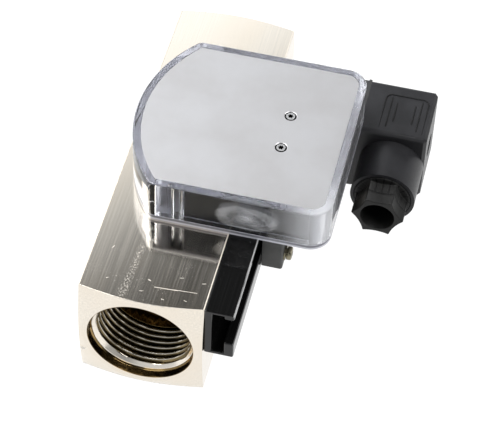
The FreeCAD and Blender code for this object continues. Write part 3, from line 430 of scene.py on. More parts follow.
def satin_plate():
    """Fine blasted and anodised sheet with faint clouds."""
    finish = Finish("satin_plate", Metallic=1.0)
    grain = finish.noise(5200.0, 2.0)
    clouds = finish.noise(48.0, 4.0)
    finish.colour(finish.blend(finish.contrast(clouds), grey(0.56, (1.0, 0.985, 0.99)),
                               grey(0.62, (0.99, 0.985, 1.0))))
    finish.rough(finish.contrast(grain, 0.34, 0.44))
    finish.bump(grain, 0.12, 0.03 * MM)
    return finish.material


def clear_plastic():
    """Clear moulding, milky round its gate, with a painted sheen of milkiness at its near right corner and
    in its right wall.
    """
    finish = Finish("clear_plastic", Base_Color=(0.94, 0.95, 0.98, 1.0), IOR=1.46)
    waves = finish.noise((40.0, 40.0, 160.0), 2.0)
    finish.rough(finish.contrast(waves, 0.015, 0.05))
    finish.bump(waves, 0.05, 0.2 * MM)
    # Painted sheen: milkiness at the near right corner and in the right wall stands for the bright light
    # seen there.
    to_right = finish.spread(finish.axis("X"), CORNER_CLEAR[0], CORNER_FULL[0], 0.0, CORNER_SHEEN)
    to_front = finish.spread(finish.axis("Y"), CORNER_CLEAR[1], CORNER_FULL[1])
    corner = finish.math("MULTIPLY", to_right, to_front)
    right_wall_sheen = finish.spread(finish.axis("X"), BOX_RIGHT_WALL, BOX_RIGHT_WALL + RIGHT_WALL_SHEEN_DEPTH,
                               0.0, RIGHT_WALL_SHEEN)
    milk = finish.math("MAXIMUM", gate_mark(finish), finish.math("MAXIMUM", corner, right_wall_sheen))
    clear = finish.math("SUBTRACT", 1.0, finish.math("MULTIPLY", milk, MILK_AND_SHEEN_SHARE))
    finish.tree.links.new(clear, finish.shader.inputs["Transmission Weight"])
    return finish.material


def gate_mark(finish):
    """Milky oval round the gate on the front wall, with a dense hub and a clearer ring in it."""
    across = finish.math("DIVIDE", finish.math("SUBTRACT", finish.axis("X"), GATE_X), OVAL_HALF_WIDTH)
    upward = finish.math("DIVIDE", finish.math("SUBTRACT", finish.axis("Z"), GATE_Z), OVAL_HALF_HEIGHT)
    squares = finish.math("ADD", finish.math("MULTIPLY", across, across),
                          finish.math("MULTIPLY", upward, upward))
    reach = finish.math("SQRT", squares)
    swirl = finish.noise((170.0, 60.0, 330.0), 3.0)
    bent = finish.math("ADD", reach, finish.math("MULTIPLY", finish.math("SUBTRACT", swirl, 0.5), 0.5))
    oval = finish.spread(bent, 1.02, 0.86)
    hub = finish.spread(bent, 0.34, 0.10)
    ring = finish.spread(finish.math("ABSOLUTE", finish.math("SUBTRACT", bent, 0.42)), 0.14, 0.0)
    milk = finish.contrast(swirl, 0.42, 0.95)
    milk = finish.math("ADD", milk, finish.math("MULTIPLY", ring, -0.35))
    milk = finish.math("ADD", milk, finish.math("MULTIPLY", hub, 0.45))
    at_front = finish.spread(finish.axis("Y"), FRONT_WALL_END_Y, FRONT_WALL_Y)
    return finish.math("MULTIPLY", finish.math("MULTIPLY", oval, milk), at_front)


def base_plastic():
    """Foot of the indicator box: a pale band along its sides, darker above and below."""
    finish = Finish("base_plastic", Roughness=0.22, Transmission_Weight=0.2, IOR=1.46)
    clouds = finish.noise(150.0, 3.0)
    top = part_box("indicator_base")[1][2]
    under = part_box("indicator_base")[0][2]
    side = finish.math("MULTIPLY", finish.spread(finish.axis("Z"), under + 0.6 * MM, under + 0.85 * MM),
                       finish.spread(finish.axis("Z"), top - 0.02 * MM, top - 0.12 * MM))
    bright = finish.blend(finish.contrast(clouds), (0.56, 0.56, 0.62, 1.0), (0.70, 0.70, 0.76, 1.0))
    finish.colour(finish.blend(side, bright, (0.22, 0.22, 0.25, 1.0)))
    return finish.material


def moulded_plastic(name, level, roughness, grain_scale=2600.0, strength=0.35, tint=(1.0, 1.0, 1.04)):
    """Moulded plastic with the fine grain of a spark-eroded tool."""
    finish = Finish(name, Specular_IOR_Level=0.24)
    grain = finish.noise(grain_scale, 3.0)
    clouds = finish.noise(120.0, 3.0)
    finish.colour(finish.blend(finish.contrast(clouds), grey(level * 0.8, tint),
                               grey(level * 1.2, tint)))
    finish.rough(finish.contrast(grain, roughness - 0.05, roughness + 0.08))
    finish.bump(grain, strength, 0.03 * MM)
    return finish.material


def nut_plastic(name, level, roughness, grain_scale, strength, tint):
    """Moulded plastic, with grooves along the back half of the cable nut, painted near-black as painted
    shade.
    """
    material = moulded_plastic(name, level, roughness, grain_scale, strength, tint)
    finish = Finish.of(material)
    across = finish.math("SUBTRACT", finish.axis("X"), NUT_AXIS[0])
    upward = finish.math("SUBTRACT", finish.axis("Z"), NUT_AXIS[1])
    angle = finish.math("ARCTAN2", upward, across)
    waves = finish.math("SINE", finish.math("MULTIPLY", angle, NUT_GROOVES))
    along = finish.spread(waves, 0.72, 0.92)
    behind = finish.spread(finish.axis("Y"), NUT_STEP_Y - NUT_SOFTNESS, NUT_STEP_Y + NUT_SOFTNESS)
    step = finish.spread(finish.math("ABSOLUTE", finish.math("SUBTRACT", finish.axis("Y"), NUT_STEP_Y)),
                         0.35 * MM, 0.15 * MM)
    groove_and_shade = finish.math("MAXIMUM", finish.math("MULTIPLY", along, behind), step)
    outside = finish.spread(finish.distance_from(NUT_AXIS), NUT_OUTSIDE - NUT_SOFTNESS,
                            NUT_OUTSIDE + NUT_SOFTNESS)
    groove_and_shade = finish.math("MULTIPLY", groove_and_shade, outside)
    # Painted shade: the grooves and the step line are painted near-black, on top of their bump.
    colour = finish.shader.inputs["Base Color"].links[0].from_socket
    finish.colour(finish.blend(groove_and_shade, colour, grey(0.001)))
    finish.bump(finish.math("MULTIPLY", groove_and_shade, -1.0), 0.6, 0.3 * MM)
    return material


def rail_black():
    """Drawn aluminium section, anodised glossy black, with fine die lines along its length, and painted
    highlights on its right faces and upper right edge.
    """
    finish = Finish("rail_black", IOR=1.42)
    lines = finish.noise((2400.0, 6.0, 2400.0), 4.0)
    drawn = finish.blend(finish.contrast(lines), grey(0.002), grey(0.005))
    sawn = finish.spread(finish.axis("Y"), RAIL_FRONT + 0.2 * MM, RAIL_FRONT + 0.05 * MM)
    tone = finish.blend(sawn, drawn, grey(0.006))
    # Painted highlight: the right faces are painted lighter grey in patches, and the upper right edge
    # lighter still, standing for glints of light.
    outer = finish.spread(finish.axis("X"), RAIL_RIGHT - 0.45 * MM, RAIL_RIGHT - 0.15 * MM)
    glint_patches = finish.spread(finish.noise((300.0, 90.0, 300.0), 3.0), 0.35, 0.65, 0.3, 1.0)
    tone = finish.blend(finish.math("MULTIPLY", outer, glint_patches), tone, grey(0.07))
    upper = finish.spread(finish.axis("Z"), RAIL_TOP - 0.75 * MM, RAIL_TOP - 0.55 * MM)
    edge = finish.math("MULTIPLY", outer, upper)
    finish.colour(finish.blend(finish.math("MULTIPLY", edge, glint_patches), tone, grey(0.38)))
    finish.rough(finish.contrast(lines, 0.06, 0.14))
    finish.bump(lines, 0.12, 0.02 * MM)
    return finish.material


def bare_metal(name, colour, roughness, streak=(700.0, 700.0, 700.0)):
    """Plain metal with faint streaks in its colour and gloss."""
    finish = Finish(name, Metallic=1.0)
    streaks = finish.noise(streak, 4.0)
    dark = tuple(channel * 0.82 for channel in colour[:3]) + (1.0,)
    finish.colour(finish.blend(finish.contrast(streaks), colour, dark))
    finish.rough(finish.contrast(streaks, roughness - 0.06, roughness + 0.08))
    finish.bump(streaks, 0.08, 0.02 * MM)
    return finish.material


def screw_steel():
    """Bright face of a screw, with its recess and the low shoulder round its face painted near-black as
    painted shade.
    """
    finish = Finish("screw_steel", Metallic=1.0)
    streaks = finish.noise(900.0, 3.0)
    face = finish.blend(finish.contrast(streaks), grey(0.72), grey(0.58))
    # Painted shade: everything below the face, the recess and the low shoulder round it, is painted
    # near-black.
    painted_shade_depth = finish.spread(finish.axis("Z"), PLATE_TOP - 0.04 * MM, PLATE_TOP - 0.14 * MM)
    finish.colour(finish.blend(painted_shade_depth, face, grey(0.012)))
    finish.rough(finish.contrast(streaks, 0.22, 0.36))
    return finish.material


def rubber():
    finish = Finish("black_rubber")
    grain = finish.noise(1500.0, 3.0)
    finish.colour(finish.blend(finish.contrast(grain), grey(0.016), grey(0.028)))
    finish.rough(finish.contrast(grain, 0.55, 0.75))
    finish.bump(grain, 0.3, 0.04 * MM)
    return finish.material


def thin_glass():
    finish = Finish("reed_glass", Base_Color=(0.80, 0.92, 0.84, 1.0), Transmission_Weight=1.0, IOR=1.45)
    waves = finish.noise(300.0, 2.0)
    finish.rough(finish.contrast(waves, 0.02, 0.08))
    return finish.material


NICKEL = nickel()
THREAD_METAL = thread_metal()
BORE_BRASS = bore_brass()
PLATE = satin_plate()
CLEAR = clear_plastic()
CLEAR_BASE = base_plastic()
BLACK_FRAME = moulded_plastic("frame_black", 0.008, 0.45)
BLOCK_BLACK = moulded_plastic("block_black", 0.075, 0.50, tint=(1.0, 1.0, 0.97))
PLUG_BLACK = moulded_plastic("plug_black", 0.0160, 0.34, 2200.0, 0.45, (1.0, 1.0, 1.10))
# Painted shade: near-black for the plug's raised lines and for the ring at the collar's mouth
SHADE_BLACK = moulded_plastic("painted_shade_black", 0.003, 0.60, 2200.0, 0.2)
NUT_BLACK = nut_plastic("nut_black", 0.008, 0.48, 2200.0, 0.3, (1.0, 1.0, 0.95))
STRIP_BLACK = moulded_plastic("strip_black", 0.034, 0.45)
RAIL_BLACK = rail_black()
STEEL = bare_metal("steel", grey(0.66), 0.26)
SCREW_STEEL = screw_steel()
BRASS = bare_metal("brass", (0.70, 0.55, 0.30, 1.0), 0.28)
YELLOW_STEEL = bare_metal("yellow_plated_steel", (0.27, 0.245, 0.17, 1.0), 0.28, (60.0, 900.0, 900.0))
FERRITE = moulded_plastic("ferrite", 0.030, 0.50, 1500.0, 0.3, (1.0, 0.98, 0.97))
OFF_WHITE = moulded_plastic("off_white_plastic", 0.62, 0.45, 1800.0, 0.15, (1.0, 0.98, 0.92))
STRIP_WHITE = moulded_plastic("scale_white", 0.70, 0.40, 1800.0, 0.1)
RED = moulded_plastic("flag_red", 0.40, 0.40, 1800.0, 0.1, (1.0, 0.12, 0.06))
GREY_INSERT = moulded_plastic("insert_grey", 0.30, 0.50, 1800.0, 0.2)
BOARD = moulded_plastic("board_green", 0.20, 0.35, 900.0, 0.1, (0.25, 1.0, 0.45))
RUBBER = rubber()
REED_GLASS = thin_glass()

# The finish of each node that shows itself
FINISHES = {
    "flow_body": NICKEL,
    "inlet_spider": BORE_BRASS,
    "outlet_spider": BORE_BRASS,
    "guide_rod": STEEL,
    "measuring_sleeve": BORE_BRASS,
    "float_body": OFF_WHITE,
    "float_magnet": FERRITE,
    "indicator_base": CLEAR_BASE,
    "dial_plate": PLATE,
    "inner_frame": BLACK_FRAME,
    "pointer_shaft": STEEL,
    "pointer_arm": BLACK_FRAME,
    "follower_magnet": FERRITE,
    "counterweight": BRASS,
    "pointer_flag": RED,
    "arc_scale": STRIP_WHITE,
    "switch_rail": RAIL_BLACK,
    "switch_housing": BLOCK_BLACK,
    "guide_shoe": STEEL,
    "switch_lid": BLOCK_BLACK,
    "reed_board": BOARD,
    "reed_switch": REED_GLASS,
    "reed_leads": STEEL,
    "connector_base": STRIP_BLACK,
    "contact_blades": BRASS,
    "flat_gasket": RUBBER,
    "plug_housing": PLUG_BLACK,
    "terminal_insert": GREY_INSERT,
    "centre_screw": STEEL,
    "gland_nut": NUT_BLACK,
    "gland_seal": RUBBER,
}
for node_name, node_finish in FINISHES.items():
    for slot in NODES[node_name].material_slots:
        slot.link = "OBJECT"
        slot.material = node_finish

# How wide the sharp edges of a node are rounded
EDGE_WIDTHS = {
    "flow_body": 0.40 * MM,
    "dial_plate": 0.12 * MM,
    "switch_rail": 0.55 * MM,
    "switch_housing": 0.25 * MM,
    "connector_base": 0.2 * MM,
    "gland_nut": 0.3 * MM,
    "inner_frame": 0.2 * MM,
}
for node_name, width in EDGE_WIDTHS.items():
    round_edges(NODES[node_name], width)


def finished(piece, material):
    piece.data.materials.append(material)
    return piece


# Port threads: a helical ridge behind a lead-in cone, with a plain wall at its back

THREAD_AROUND = 120
THREAD_STEPS = 96
THREAD_WALL = 0.015 * MM

# Slope of the ridge's flanks, and how far its foot is cut back
FLANK_SLOPE = 1.35
FLANK_FOOT = 0.1


def thread_ring(radius_at, station):
    """Ring round the flow axis, whose radius may change with the angle."""
    ring = []
    for i in range(THREAD_AROUND):
        angle = 2 * math.pi * i / THREAD_AROUND
        radius = radius_at(angle)
        ring.append(Vector((radius * math.cos(angle), station, radius * math.sin(angle))))
    return ring


def ridge_radius(along, angle):
    """Radius of the thread at a depth behind its start, no higher than the lead-in cone."""
    height = THREAD_MAJOR - THREAD_MINOR
    phase = ((along - height) / THREAD_PITCH + angle / (2 * math.pi)) % 1.0
    share = min(1.0, max(0.0, (1.0 - abs(2 * phase - 1)) * FLANK_SLOPE - FLANK_FOOT))
    return THREAD_MAJOR - min(height * share, along)


def port_thread(name, mirrored):
    length = THREAD_END - THREAD_START
    rings = []
    for step in range(THREAD_STEPS + 1):
        along = length * step / THREAD_STEPS
        rings.append(thread_ring(lambda angle: ridge_radius(along, angle), THREAD_START + along))
    for station in (THREAD_END, THREAD_START):
        rings.append(thread_ring(lambda angle: THREAD_MAJOR + THREAD_WALL, station))
    points, faces = bridged(rings, loop=True)
    if mirrored:
        points = [Vector((-p.x, BODY_LENGTH - p.y, p.z)) for p in points]
    return finished(mesh_piece(name, points, faces, "meter", 50), THREAD_METAL)


port_thread("inlet_thread", False)
port_thread("outlet_thread", True)


# Indicator box: a D-shaped shell, with posts, webs and the stub of its gate

BASE_LOW, BASE_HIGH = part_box("indicator_base")
COVER_LOW, COVER_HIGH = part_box("clear_cover")
DIAL_RADIUS = PIVOT.x - BASE_LOW[0]
HALF_WIDTH = (BASE_HIGH[1] - BASE_LOW[1]) / 2
BOX_RIGHT = BASE_HIGH[0]

# Steps of the outline's corners, of its small corners at the arc, and of the arc
CORNER_STEPS = 12
ARC_CORNER_STEPS = 8
ARC_STEPS = 72

# The small corners shrink by this share of the inset, and no corner gets smaller than this
ARC_CORNER_SHRINK = 0.6
LEAST_CORNER = 0.3 * MM

# Steps of the rounded top, and the width of the softened edges
TOP_STEPS = 5
SOFT_EDGE = 0.15 * MM

POST_X = 2.6 * MM
POST_INSET = 4.2 * MM
POST_PLACES = [(POST_X, PIVOT.y + sign * (HALF_WIDTH - POST_INSET)) for sign in (-1, 1)]
POST_AROUND = 40

# Webs that hang beside the front post: left, right and lower edge of each
WEBS = ((-0.9 * MM, -0.15 * MM, 24.6 * MM), (0.05 * MM, 0.5 * MM, 25.2 * MM))
WEB_ENDS_Y = (37.0 * MM, 38.3 * MM)
WEB_TIP_INSET = 0.15 * MM
WEB_TIP_DROP = 0.5 * MM

GATE_RADIUS = 0.9 * MM
GATE_HEIGHT = 0.22 * MM
GATE_SLOPE = 0.1 * MM
GATE_EDGE = 0.08 * MM
GATE_ROOT = 0.5 * MM
GATE_AROUND = 32


def arc_points(centre, radius, start, end, count):
    return [Vector((centre[0] + radius * math.cos(start + (end - start) * i / count),
                    centre[1] + radius * math.sin(start + (end - start) * i / count)))
            for i in range(count + 1)]


def dial_outline(inset, height):
    """The D at a distance inside the outer one, with as many points at every inset."""
    reach = DIAL_RADIUS - inset
    half = HALF_WIDTH - inset
    right = BOX_RIGHT - inset
    corner = max(BOX_CORNER - inset, LEAST_CORNER)
    small = max(BOX_ARC_CORNER - inset * ARC_CORNER_SHRINK, LEAST_CORNER)
    offset = math.sqrt((reach - small) ** 2 - (half - small) ** 2)
    front_centre = (PIVOT.x - offset, PIVOT.y - half + small)
    back_centre = (PIVOT.x - offset, PIVOT.y + half - small)
    swing = math.atan2(half - small, offset)
    outline = arc_points((right - corner, PIVOT.y - half + corner), corner, -math.pi / 2, 0, CORNER_STEPS)
    outline += arc_points((right - corner, PIVOT.y + half - corner), corner, 0, math.pi / 2, CORNER_STEPS)
    outline += arc_points(back_centre, small, math.pi / 2, math.pi - swing, ARC_CORNER_STEPS)
    outline += arc_points((PIVOT.x, PIVOT.y), reach, math.pi - swing, math.pi + swing, ARC_STEPS)[1:-1]
    outline += arc_points(front_centre, small, math.pi + swing, 3 * math.pi / 2, ARC_CORNER_STEPS)
    return [Vector((point.x, point.y, height)) for point in outline]


def clear_cover():
    foot = COVER_LOW[2] + SEE_THROUGH_GAP
    top = COVER_HIGH[2]
    ledge = top - RIM_DEPTH
    rings = [dial_outline(SOFT_EDGE, foot), dial_outline(0, foot + SOFT_EDGE)]
    for step in range(TOP_STEPS + 1):
        turn = math.pi / 2 * step / TOP_STEPS
        rings.append(dial_outline(TOP_ROUND * (1 - math.cos(turn)), top - TOP_ROUND * (1 - math.sin(turn))))
    rings.append(dial_outline(RIM - SOFT_EDGE, top))
    rings.append(dial_outline(RIM, top - SOFT_EDGE))
    rings.append(dial_outline(RIM, ledge))
    rings.append(dial_outline(WALL, ledge))
    rings.append(dial_outline(WALL, foot))
    points, faces = bridged(rings, loop=True)
    shell = mesh_piece("clear_cover_shell", points, faces, "meter")
    additions = posts(foot, ledge) + webs(ledge) + [gate_stub()]
    for number, (points, faces) in enumerate(additions):
        join(shell, number, points, faces)
    shade_smooth(shell.data, 32)
    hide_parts("clear_cover")
    finished(shell, CLEAR)


def posts(foot, ledge):
    """Two posts inside at the left."""
    shapes = []
    for x, y in POST_PLACES:
        shapes.append(capped([moved(circle(POST_RADIUS, height, POST_AROUND), Matrix.Translation((x, y, 0)))
                              for height in (foot, ledge)]))
    return shapes


def webs(ledge):
    """Thin webs beside the front post, hanging from the ledge."""
    shapes = []
    for left, right, low in WEBS:
        rings = []
        for along in WEB_ENDS_Y:
            rings.append([Vector((left, along, ledge)), Vector((right, along, ledge)),
                          Vector((right, along, low)),
                          Vector((right - WEB_TIP_INSET, along, low - WEB_TIP_DROP))])
        shapes.append(capped(rings))
    return shapes


def gate_stub():
    """Stub that the gate left on the front wall."""
    front = PIVOT.y - HALF_WIDTH
    stations = (
        (GATE_RADIUS, front + GATE_ROOT),
        (GATE_RADIUS, front - GATE_HEIGHT + GATE_EDGE),
        (GATE_RADIUS - GATE_SLOPE, front - GATE_HEIGHT),
    )
    return capped([[Vector((GATE_X + p.x, along, GATE_Z + p.y)) for p in circle(radius, 0, GATE_AROUND)]
                   for radius, along in stations])


def join(shell, number, points, faces):
    """Unites a closed form with the shell, for good."""
    part = mesh_piece("cover_addition_%d" % number, points, faces, "meter")
    union = shell.modifiers.new("addition_%d" % number, "BOOLEAN")
    union.operation = "UNION"
    union.solver = "EXACT"
    union.object = part
    evaluated = shell.evaluated_get(bpy.context.evaluated_depsgraph_get())
    mesh = bpy.data.meshes.new_from_object(evaluated)
    shell.modifiers.clear()
    shell.data = mesh
    bpy.data.objects.remove(part)


clear_cover()


# Plate screws: countersunk heads with a six-lobed recess

SCREW_OFFSETS_Y = (-7.05 * MM, 7.05 * MM)
SCREW_AROUND = 72
SCREW_LENGTH = 6.0 * MM
SCREW_SHANK_RADIUS = 1.09 * MM
SCREW_HEAD_RADIUS = 2.04 * MM
SCREW_HEAD_DEPTH = 1.0 * MM

# The flat face stands up from the head, on a short slope
SCREW_FACE_RADIUS = 1.45 * MM
SCREW_FACE_RISE = 0.15 * MM
SCREW_FACE_SLOPE = 0.06 * MM

# The recess: mean radius and lobes as shares of the outer one, and its widened mouth
STAR_RADIUS = 0.95 * MM
STAR_MEAN = 0.84
STAR_LOBE = 0.16
STAR_DEPTH = 0.8 * MM
STAR_MOUTH = 1.06
STAR_MOUTH_DEPTH = 0.05 * MM


def plate_screw(name, x, y, top):
    star = []
    for i in range(SCREW_AROUND):
        angle = 2 * math.pi * i / SCREW_AROUND
        radius = STAR_RADIUS * (STAR_MEAN + STAR_LOBE * math.cos(6 * angle))
        star.append(Vector((radius * math.cos(angle), radius * math.sin(angle), 0)))
    shoulder = top - SCREW_FACE_RISE
    rings = [
        moved(star, Matrix.Translation((0, 0, top - STAR_DEPTH))),
        moved(star, Matrix.Translation((0, 0, top - STAR_MOUTH_DEPTH))),
        moved([point * STAR_MOUTH for point in star], Matrix.Translation((0, 0, top))),
        circle(SCREW_FACE_RADIUS, top, SCREW_AROUND),
        circle(SCREW_FACE_RADIUS + SCREW_FACE_SLOPE, shoulder, SCREW_AROUND),
        circle(SCREW_HEAD_RADIUS, shoulder, SCREW_AROUND),
        circle(SCREW_SHANK_RADIUS, top - SCREW_HEAD_DEPTH, SCREW_AROUND),
        circle(SCREW_SHANK_RADIUS, top - SCREW_LENGTH, SCREW_AROUND),
    ]
    points, faces = capped(rings)
    points = moved(points, Matrix.Translation((x, y, 0)))
    return finished(mesh_piece(name, points, faces, "meter", 30), SCREW_STEEL)


for number, offset in enumerate(SCREW_OFFSETS_Y):
    screw = plate_screw("plate_screw_%d" % number, PIVOT.x, PIVOT.y + offset, PLATE_TOP)
    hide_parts("plate_screws")


# Clamp screw: flat washer, and a rounded head with a cross-shaped recess

CLAMP_LOW, CLAMP_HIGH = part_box("clamp_screw")
CLAMP_HEAD_HEIGHT = 2.4 * MM
CLAMP_AROUND = 64
CLAMP_SHANK_RADIUS = 1.5 * MM
CLAMP_TIP_RADIUS = 1.3 * MM
CLAMP_TIP_LENGTH = 0.2 * MM

# Mean radius and arms of the cross recess, as shares of its outer one
CROSS_MEAN = 0.70
CROSS_ARM = 0.30

# Radius and height above the underside of the washer, both in millimetres
CLAMP_PROFILE = (
    (1.5, 0.0), (2.5, 0.0), (2.5, 0.45), (1.5, 0.5), (1.5, 0.72), (2.15, 0.78), (2.25, 0.95), (2.25, 1.85),
    (2.05, 2.22), (1.7, 2.36), (1.35, 2.4),
)
CLAMP_RECESS = ((1.0, 2.4), (0.95, 1.5))


def clamp_screw():
    middle_y = (CLAMP_LOW[1] + CLAMP_HIGH[1]) / 2
    middle_z = (CLAMP_LOW[2] + CLAMP_HIGH[2]) / 2
    under = CLAMP_HIGH[0] - CLAMP_HEAD_HEIGHT
    sizes = [[(CLAMP_TIP_RADIUS, CLAMP_LOW[0])] * CLAMP_AROUND,
             [(CLAMP_SHANK_RADIUS, CLAMP_LOW[0] + CLAMP_TIP_LENGTH)] * CLAMP_AROUND]
    for radius, height in CLAMP_PROFILE:
        sizes.append([(radius * MM, under + height * MM)] * CLAMP_AROUND)
    for radius, height in CLAMP_RECESS:
        sizes.append([(radius * MM * (CROSS_MEAN + CROSS_ARM * math.cos(8 * math.pi * i / CLAMP_AROUND)),
                       under + height * MM) for i in range(CLAMP_AROUND)])
    rings = []
    for ring in sizes:
        rings.append([Vector((along, middle_y + radius * math.cos(2 * math.pi * i / CLAMP_AROUND),
                              middle_z + radius * math.sin(2 * math.pi * i / CLAMP_AROUND)))
                      for i, (radius, along) in enumerate(ring)])
    screw = finished(mesh_piece("clamp_screw_shown", *capped(rings), "clamp_screw", 35), YELLOW_STEEL)
    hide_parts("clamp_screw")


clamp_screw()


# Plug: raised arch and ribs on its top, without any lettering, painted near-black as painted shade

PLUG_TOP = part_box("plug_housing")[1][2]
ARCH_CENTRE_X = 63.9 * MM
ARCH_HALF = 7.2 * MM
ARCH_BACK = 107.6 * MM
ARCH_FRONT = 91.8 * MM
ARCH_CORNER = 2.2 * MM
ARCH_STEPS = 8
RIDGE_WIDTH = 0.55 * MM
RIDGE_HEIGHT = 0.30 * MM
RIB_HEIGHT = RIDGE_HEIGHT * 0.8

# Across and up, as shares of a ridge's width and height; its ends are narrower and lower
RIDGE_SECTION = ((-0.5, -0.4), (-0.42, 0.5), (-0.18, 1.0), (0.18, 1.0), (0.42, 0.5), (0.5, -0.4))
RIDGE_END_WIDTH = 0.35
RIDGE_END_HEIGHT = 0.3

# Ribs inside the arch: distance from its middle, back end and front end
PLUG_RIBS = ((5.1 * MM, 106.3 * MM, 92.4 * MM), (3.1 * MM, 104.2 * MM, 95.2 * MM))
RIB_TIP = 0.4 * MM


def ridge(name, path, height):
    """A low rounded bead along a flat path of points, ending in soft tips."""
    rings = []
    last = len(path) - 1
    for i, point in enumerate(path):
        along = (path[min(i + 1, last)] - path[max(i - 1, 0)]).normalized()
        side = Vector((-along.y, along.x, 0))
        at_end = i in (0, last)
        width = RIDGE_WIDTH * (RIDGE_END_WIDTH if at_end else 1.0)
        rings.append([point + side * (across * width)
                      + Vector((0, 0, up * height * (RIDGE_END_HEIGHT if at_end and up > 0 else 1.0)))
                      for across, up in RIDGE_SECTION])
    points, faces = capped(rings)
    # Painted shade: the ridges are near-black so that they read as dark lines.
    finished(mesh_piece(name, points, faces, "switch_unit", 60), SHADE_BLACK)


def plug_marks():
    left = ARCH_CENTRE_X - ARCH_HALF
    path = [Vector((left, ARCH_FRONT, PLUG_TOP)), Vector((left, ARCH_BACK - ARCH_CORNER, PLUG_TOP))]
    for i in range(1, ARCH_STEPS):
        turn = math.pi - math.pi / 2 * i / ARCH_STEPS
        path.append(Vector((left + ARCH_CORNER + ARCH_CORNER * math.cos(turn),
                            ARCH_BACK - ARCH_CORNER + ARCH_CORNER * math.sin(turn), PLUG_TOP)))
    path += [Vector((2 * ARCH_CENTRE_X - p.x, p.y, PLUG_TOP)) for p in reversed(path)]
    ridge("plug_arch", path, RIDGE_HEIGHT)
    ribs = [(ARCH_CENTRE_X + side * offset, back, front)
            for offset, back, front in PLUG_RIBS for side in (-1, 1)]
    for number, (x, back, front) in enumerate(ribs):
        stations = (back, back - RIB_TIP, front + RIB_TIP, front)
        ridge("plug_rib_%d" % number, [Vector((x, y, PLUG_TOP)) for y in stations], RIB_HEIGHT)


plug_marks()


# Painted shadow: a near-black ring between the rim of the collar and the cable nut

COLLAR_MOUTH_Y = 73.7 * MM
SHADOW_RING_OUTER = 9.5 * MM
SHADOW_RING_INNER = 7.4 * MM
SHADOW_RING_THICK = 0.05 * MM
SHADOW_RING_FLARE = 0.03 * MM
SHADOW_RING_AROUND = 96


def collar_shadow_ring():
    """A thin near-black ring on the mouth of the collar, a painted shadow."""
    rings = []
    for radius, along in ((SHADOW_RING_INNER, 0.0), (SHADOW_RING_INNER, -SHADOW_RING_THICK),
                          (SHADOW_RING_OUTER, -SHADOW_RING_THICK), (SHADOW_RING_OUTER + SHADOW_RING_FLARE, 0.0)):
        rings.append([Vector((NUT_AXIS[0] + p.x, COLLAR_MOUTH_Y + along, NUT_AXIS[1] + p.y))
                      for p in circle(radius, 0, SHADOW_RING_AROUND)])
    points, faces = bridged(rings, loop=True)
    finished(mesh_piece("collar_shadow_ring", points, faces, "switch_unit", 40), SHADE_BLACK)


collar_shadow_ring()


# Return spring: a round wire, which the float presses together as it lifts; here it is drawn at one length

SPRING_TURNS = 5
SPRING_STEPS = 36
SPRING_FLATS = 10
SPRING_WIRE = 0.42 * MM
SPRING_RADIUS = 4.9 * MM


def return_spring():
    low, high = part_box("float_spring")
    steps = SPRING_TURNS * SPRING_STEPS
    rise = high[1] - low[1] - 2 * SPRING_WIRE
    rings = []
    for step in range(steps + 1):
        turn = 2 * math.pi * SPRING_TURNS * step / steps
        ring = []
        for flat in range(SPRING_FLATS):
            around = 2 * math.pi * flat / SPRING_FLATS
            reach = SPRING_RADIUS + SPRING_WIRE * math.cos(around)
            ring.append(Vector((reach * math.cos(turn),
                                low[1] + SPRING_WIRE + rise * step / steps + SPRING_WIRE * math.sin(around),
                                -reach * math.sin(turn))))
        rings.append(ring)
    spring = finished(mesh_piece("return_spring", *capped(rings), "meter", 60), STEEL)
    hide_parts("float_spring")
    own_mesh(spring)


return_spring()


# Floor, light, camera

# The floor glows like a light table, so that hardly any shadow shows on it
FLOOR_GLOW = 1.0
FLOOR_HALF = 3.0
FLOOR_GAP = 0.1 * MM


def make_floor():
    low = -BODY_SIDE / 2 - FLOOR_GAP
    corners = [(x * FLOOR_HALF, y * FLOOR_HALF, low) for x, y in ((-1, -1), (1, -1), (1, 1), (-1, 1))]
    mesh = bpy.data.meshes.new("floor")
    mesh.from_pydata(corners, [], [(0, 1, 2, 3)])
    floor = bpy.data.objects.new("floor", mesh)
    bpy.context.scene.collection.objects.link(floor)
    finish = Finish("floor", Roughness=0.7, Emission_Color=grey(1.0), Emission_Strength=FLOOR_GLOW)
    clouds = finish.noise(2.0, 2.0)
    finish.colour(finish.blend(clouds, grey(0.04), grey(0.05)))
    mesh.materials.append(finish.material)


# The bright wall and the dark ceiling: how strong, and at which height of a direction one turns into the
# other; the tilt raises that height towards the left
BAND_LEVEL = 1.55
CEILING_LEVEL = 0.09
BAND_TOP = 0.60
BAND_END = 0.70
BAND_TILT = 0.5

# The wall is dimmer at the camera's side and at the right, with a soft edge in Y and in X
CAMERA_SIDE_LEVEL = 0.5
CAMERA_SIDE_FADE = (-0.5, 0.3)
RIGHT_SIDE_LEVEL = 0.5
RIGHT_SIDE_FADE = (0.2, 0.8)

# Cool white of wall and ceiling
DAYLIGHT = (0.955, 0.975, 1.0, 1.0)

# Softboxes stand well off the zenith, which weakens their reflection in a view from above
SOFTBOX_SIDE = 0.8
SOFTBOX_TARGET = (0.02, 0.06, 0.0)
LEFT_SOFTBOX = (-0.60, 0.04, 0.95)
LEFT_POWER = 14.0
RIGHT_SOFTBOX = (0.62, 0.02, 0.95)
RIGHT_POWER = 12.0


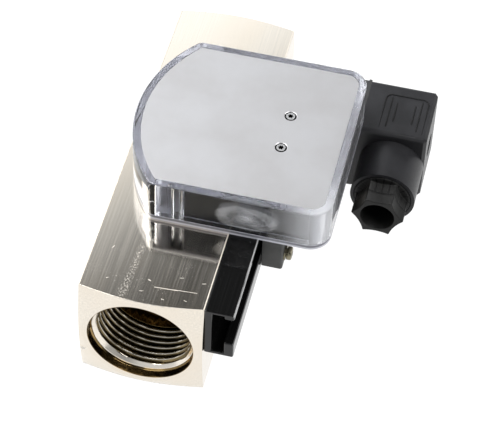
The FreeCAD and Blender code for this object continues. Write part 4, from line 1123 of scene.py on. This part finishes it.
def make_world():
    """A bright wall all round, up to a soft edge, below a darker ceiling."""
    world = bpy.data.worlds.new("studio")
    bpy.context.scene.world = world
    world.use_nodes = True
    tree = world.node_tree
    background = tree.nodes["Background"]
    background.inputs["Color"].default_value = DAYLIGHT
    place = tree.nodes.new("ShaderNodeTexCoord")
    split = tree.nodes.new("ShaderNodeSeparateXYZ")
    tree.links.new(place.outputs["Generated"], split.inputs["Vector"])
    tilt = tree.nodes.new("ShaderNodeMath")
    tilt.operation = "MULTIPLY_ADD"
    tilt.inputs[1].default_value = BAND_TILT
    tree.links.new(split.outputs["X"], tilt.inputs[0])
    tree.links.new(split.outputs["Z"], tilt.inputs[2])
    level = world_fade(tree, tilt.outputs["Value"], BAND_TOP, BAND_END, BAND_LEVEL, CEILING_LEVEL)
    to_camera = world_fade(tree, split.outputs["Y"], *CAMERA_SIDE_FADE, CAMERA_SIDE_LEVEL, 1.0)
    to_right = world_fade(tree, split.outputs["X"], *RIGHT_SIDE_FADE, 1.0, RIGHT_SIDE_LEVEL)
    for factor in (to_camera, to_right):
        product = tree.nodes.new("ShaderNodeMath")
        product.operation = "MULTIPLY"
        tree.links.new(level, product.inputs[0])
        tree.links.new(factor, product.inputs[1])
        level = product.outputs["Value"]
    tree.links.new(level, background.inputs["Strength"])


def world_fade(tree, value, low, high, to_low, to_high):
    fade = tree.nodes.new("ShaderNodeMapRange")
    fade.interpolation_type = "SMOOTHSTEP"
    for name, setting in (("From Min", low), ("From Max", high), ("To Min", to_low), ("To Max", to_high)):
        fade.inputs[name].default_value = setting
    tree.links.new(value, fade.inputs["Value"])
    return fade.outputs["Result"]


def make_softbox(name, place, power):
    data = bpy.data.lights.new(name, "AREA")
    data.shape = "RECTANGLE"
    data.size = SOFTBOX_SIDE
    data.size_y = SOFTBOX_SIDE
    data.energy = power
    light = bpy.data.objects.new(name, data)
    light.location = place
    light.rotation_euler = (Vector(SOFTBOX_TARGET) - Vector(place)).to_track_quat("-Z", "Y").to_euler()
    bpy.context.scene.collection.objects.link(light)


def make_camera():
    data = bpy.data.cameras.new("camera")
    data.sensor_width = SENSOR_WIDTH
    data.lens = CAMERA_LENS
    data.clip_start = 0.01
    data.clip_end = 50
    camera = bpy.data.objects.new("camera", data)
    columns = (Vector(CAMERA_RIGHT), -Vector(CAMERA_DOWN), -Vector(CAMERA_AHEAD))
    turn = Matrix([[column[i] for column in columns] for i in range(3)]).to_4x4()
    camera.matrix_world = Matrix.Translation(CAMERA_PLACE) @ turn
    bpy.context.scene.collection.objects.link(camera)
    bpy.context.scene.camera = camera


make_floor()
make_world()
make_softbox("left_softbox", LEFT_SOFTBOX, LEFT_POWER)
make_softbox("right_softbox", RIGHT_SOFTBOX, RIGHT_POWER)
make_camera()
bpy.context.scene.view_settings.view_transform = "Standard"
